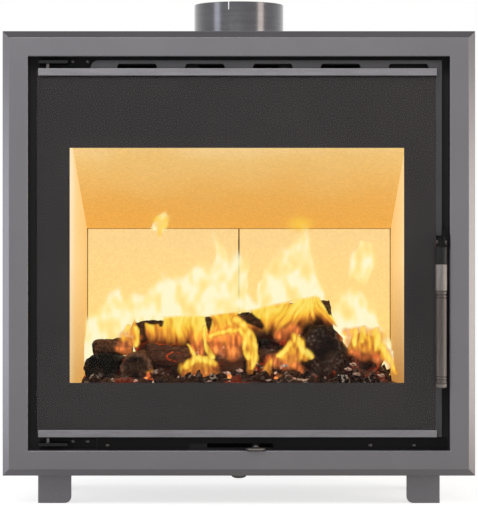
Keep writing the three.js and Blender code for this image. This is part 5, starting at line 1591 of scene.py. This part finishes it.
# Each sheet's finish, depth, sides (left, right, bottom, top), grid, what burns, thickness and lean
FLAME_SHEETS = {
    "flames_back": (PALE_FLAME, 288, (-275, 272, 198, 490), 3.0, back_flame, 5.0, 0.0),
    "flames_loose": (YELLOW_FLAME, 276, (-160, 150, 418, 484), 3.0, loose_flame, 3.0, 0.0),
    "flames_on_back_log": (YELLOW_FLAME, 166, (-186, 168, 232, 340), 2.0, log_flame, 5.0, -0.05),
    "flames_thin": (THIN_FLAME, 104, (-224, 262, 188, 306), 2.5, thin_gas, 3.0, 0.0),
    "flames_front": (YELLOW_FLAME, 92, (-212, 270, 188, 316), 2.0, front_flame, 7.0, 0.0),
}

for sheet, settings in FLAME_SHEETS.items():
    make_flames(sheet, *settings)


# ---- Floor, light and room ----

FLOOR_REACH = 9.0
FADE_FROM, FADE_TO = 0.9, 2.2  # how far from the insert the floor begins and ends to go white
FLOOR_LIFT = 0.72
LEAST_MIRRORED = 0.28
LAMPS_AIM = Vector((0, 0, 0.42))


def make_floor():
    """Plain pale floor. Far from the insert it goes over into the white behind."""
    mesh = bpy.data.meshes.new("floor")
    reach = FLOOR_REACH
    level = -0.5 * MM
    mesh.from_pydata(
        [(-reach, -reach, level), (reach, -reach, level), (reach, reach, level), (-reach, reach, level)],
        [],
        [(0, 1, 2, 3)],
    )
    made, tree = finish_named("matt white floor")
    here = add(tree, "TexCoord").outputs["Object"]
    away = add(tree, "VectorMath", {0: here}, operation="LENGTH").outputs["Value"]
    far = add(tree, "MapRange", {"Value": away, "From Min": FADE_FROM, "From Max": FADE_TO})
    ray = add(tree, "LightPath")
    mirrored = add(
        tree,
        "Math",
        {0: ray.outputs["Is Glossy Ray"], 1: ray.outputs["Is Transmission Ray"]},
        operation="ADD",
    )
    seen = add(
        tree, "Math", {0: ray.outputs["Is Camera Ray"], 1: mirrored}, operation="ADD", use_clamp=True
    )
    # A mirror that looks down at the floor right before it meets it unlifted
    least = add(tree, "Math", {0: far, 1: LEAST_MIRRORED}, operation="MAXIMUM")
    bright = add(
        tree,
        "Math",
        {0: mirrored, 1: least, 2: ray.outputs["Is Camera Ray"]},
        operation="MULTIPLY_ADD",
        use_clamp=True,
    )
    lift = add(tree, "Math", {0: bright, 1: FLOOR_LIFT}, operation="MULTIPLY")
    matt = add(tree, "BsdfDiffuse", {"Color": "#d2d1cf"})
    lifted = add(tree, "Emission", {"Color": "#ffffff", "Strength": lift})
    near = add(tree, "AddShader", {0: matt, 1: lifted})
    white = add(tree, "Emission", {"Color": "#ffffff", "Strength": 1.0})
    share = add(tree, "Math", {0: seen, 1: far}, operation="MULTIPLY")
    surface = add(tree, "MixShader", {0: share, 1: near, 2: white})
    add(tree, "OutputMaterial", {"Surface": surface})
    mesh.materials.append(made)
    floor = linked("floor", mesh)


def make_room():
    """White behind for the camera, and a studio for the light: bright in front, dark overhead."""
    world = bpy.data.worlds.new("studio")
    world.use_nodes = True
    tree = world.node_tree
    tree.nodes.clear()
    way = add(tree, "TexCoord").outputs["Generated"]
    apart = add(tree, "SeparateXYZ", {"Vector": way})
    height = add(tree, "MapRange", {"Value": apart.outputs["Z"], "From Min": -1.0, "From Max": 1.0})
    studio = add(
        tree,
        "ValToRGB",
        {"Fac": height},
        stops=[
            (0.0, "#8a8a8a"),
            (0.43, "#c6c6c8"),
            (0.57, "#f2f2f4"),
            (0.67, "#e0e0e3"),
            (0.8, "#7e7e80"),
            (1.0, "#6a6a6c"),
        ],
    )
    ray = add(tree, "LightPath")
    behind = add(tree, "MapRange", {"Value": apart.outputs["Y"], "From Min": 0.1, "From Max": 0.5})
    shown = add(
        tree,
        "Math",
        {0: ray.outputs["Is Glossy Ray"], 1: behind, 2: ray.outputs["Is Camera Ray"]},
        operation="MULTIPLY_ADD",
    )
    seen = add(
        tree, "Math", {0: shown, 1: ray.outputs["Is Transmission Ray"]}, operation="ADD", use_clamp=True
    )
    light = add(tree, "Background", {"Color": studio, "Strength": 1.0})
    white = add(tree, "Background", {"Color": "#ffffff", "Strength": 1.0})
    mixed = add(tree, "MixShader", {0: seen, 1: light, 2: white})
    add(tree, "OutputWorld", {"Surface": mixed})
    bpy.context.scene.world = world


def softbox(name, azimuth, height, width, tall, distance, power, colour):
    """A large soft lamp, turned to the middle of the insert."""
    light = bpy.data.lights.new(name, "AREA")
    light.shape = "RECTANGLE"
    light.size = width
    light.size_y = tall
    light.energy = power
    light.color = linear(colour)[:3]
    lamp = linked(name, light)
    angle = math.radians(azimuth)
    lamp.location = (distance * math.sin(angle), -distance * math.cos(angle), height)
    aim = LAMPS_AIM - lamp.location
    lamp.rotation_euler = aim.to_track_quat("-Z", "Y").to_euler()
    lamp.visible_camera = False


make_floor()
make_room()
# Each lamp's azimuth in degrees, height, width, tallness, distance, power in watts and colour
LAMPS = {
    "softbox_left": (-58, 0.9, 0.7, 2.2, 2.6, 10, "#eef2ff"),
    "softbox_right": (58, 0.9, 0.7, 2.2, 2.6, 17, "#fff0e0"),
    "glow_left": (-90, 0.35, 0.9, 0.7, 1.7, 3, "#f4f4ff"),
    "glow_right": (90, 0.35, 0.9, 0.7, 1.7, 6, "#fff2e2"),
    "softbox_front": (-14, 2.6, 2.6, 1.4, 3.2, 54, "#ffffff"),
}
for lamp_name, setting in LAMPS.items():
    softbox(lamp_name, *setting)

view = bpy.context.scene.view_settings
view.view_transform = "Standard"
bpy.context.scene.cycles.transparent_max_bounces = 24
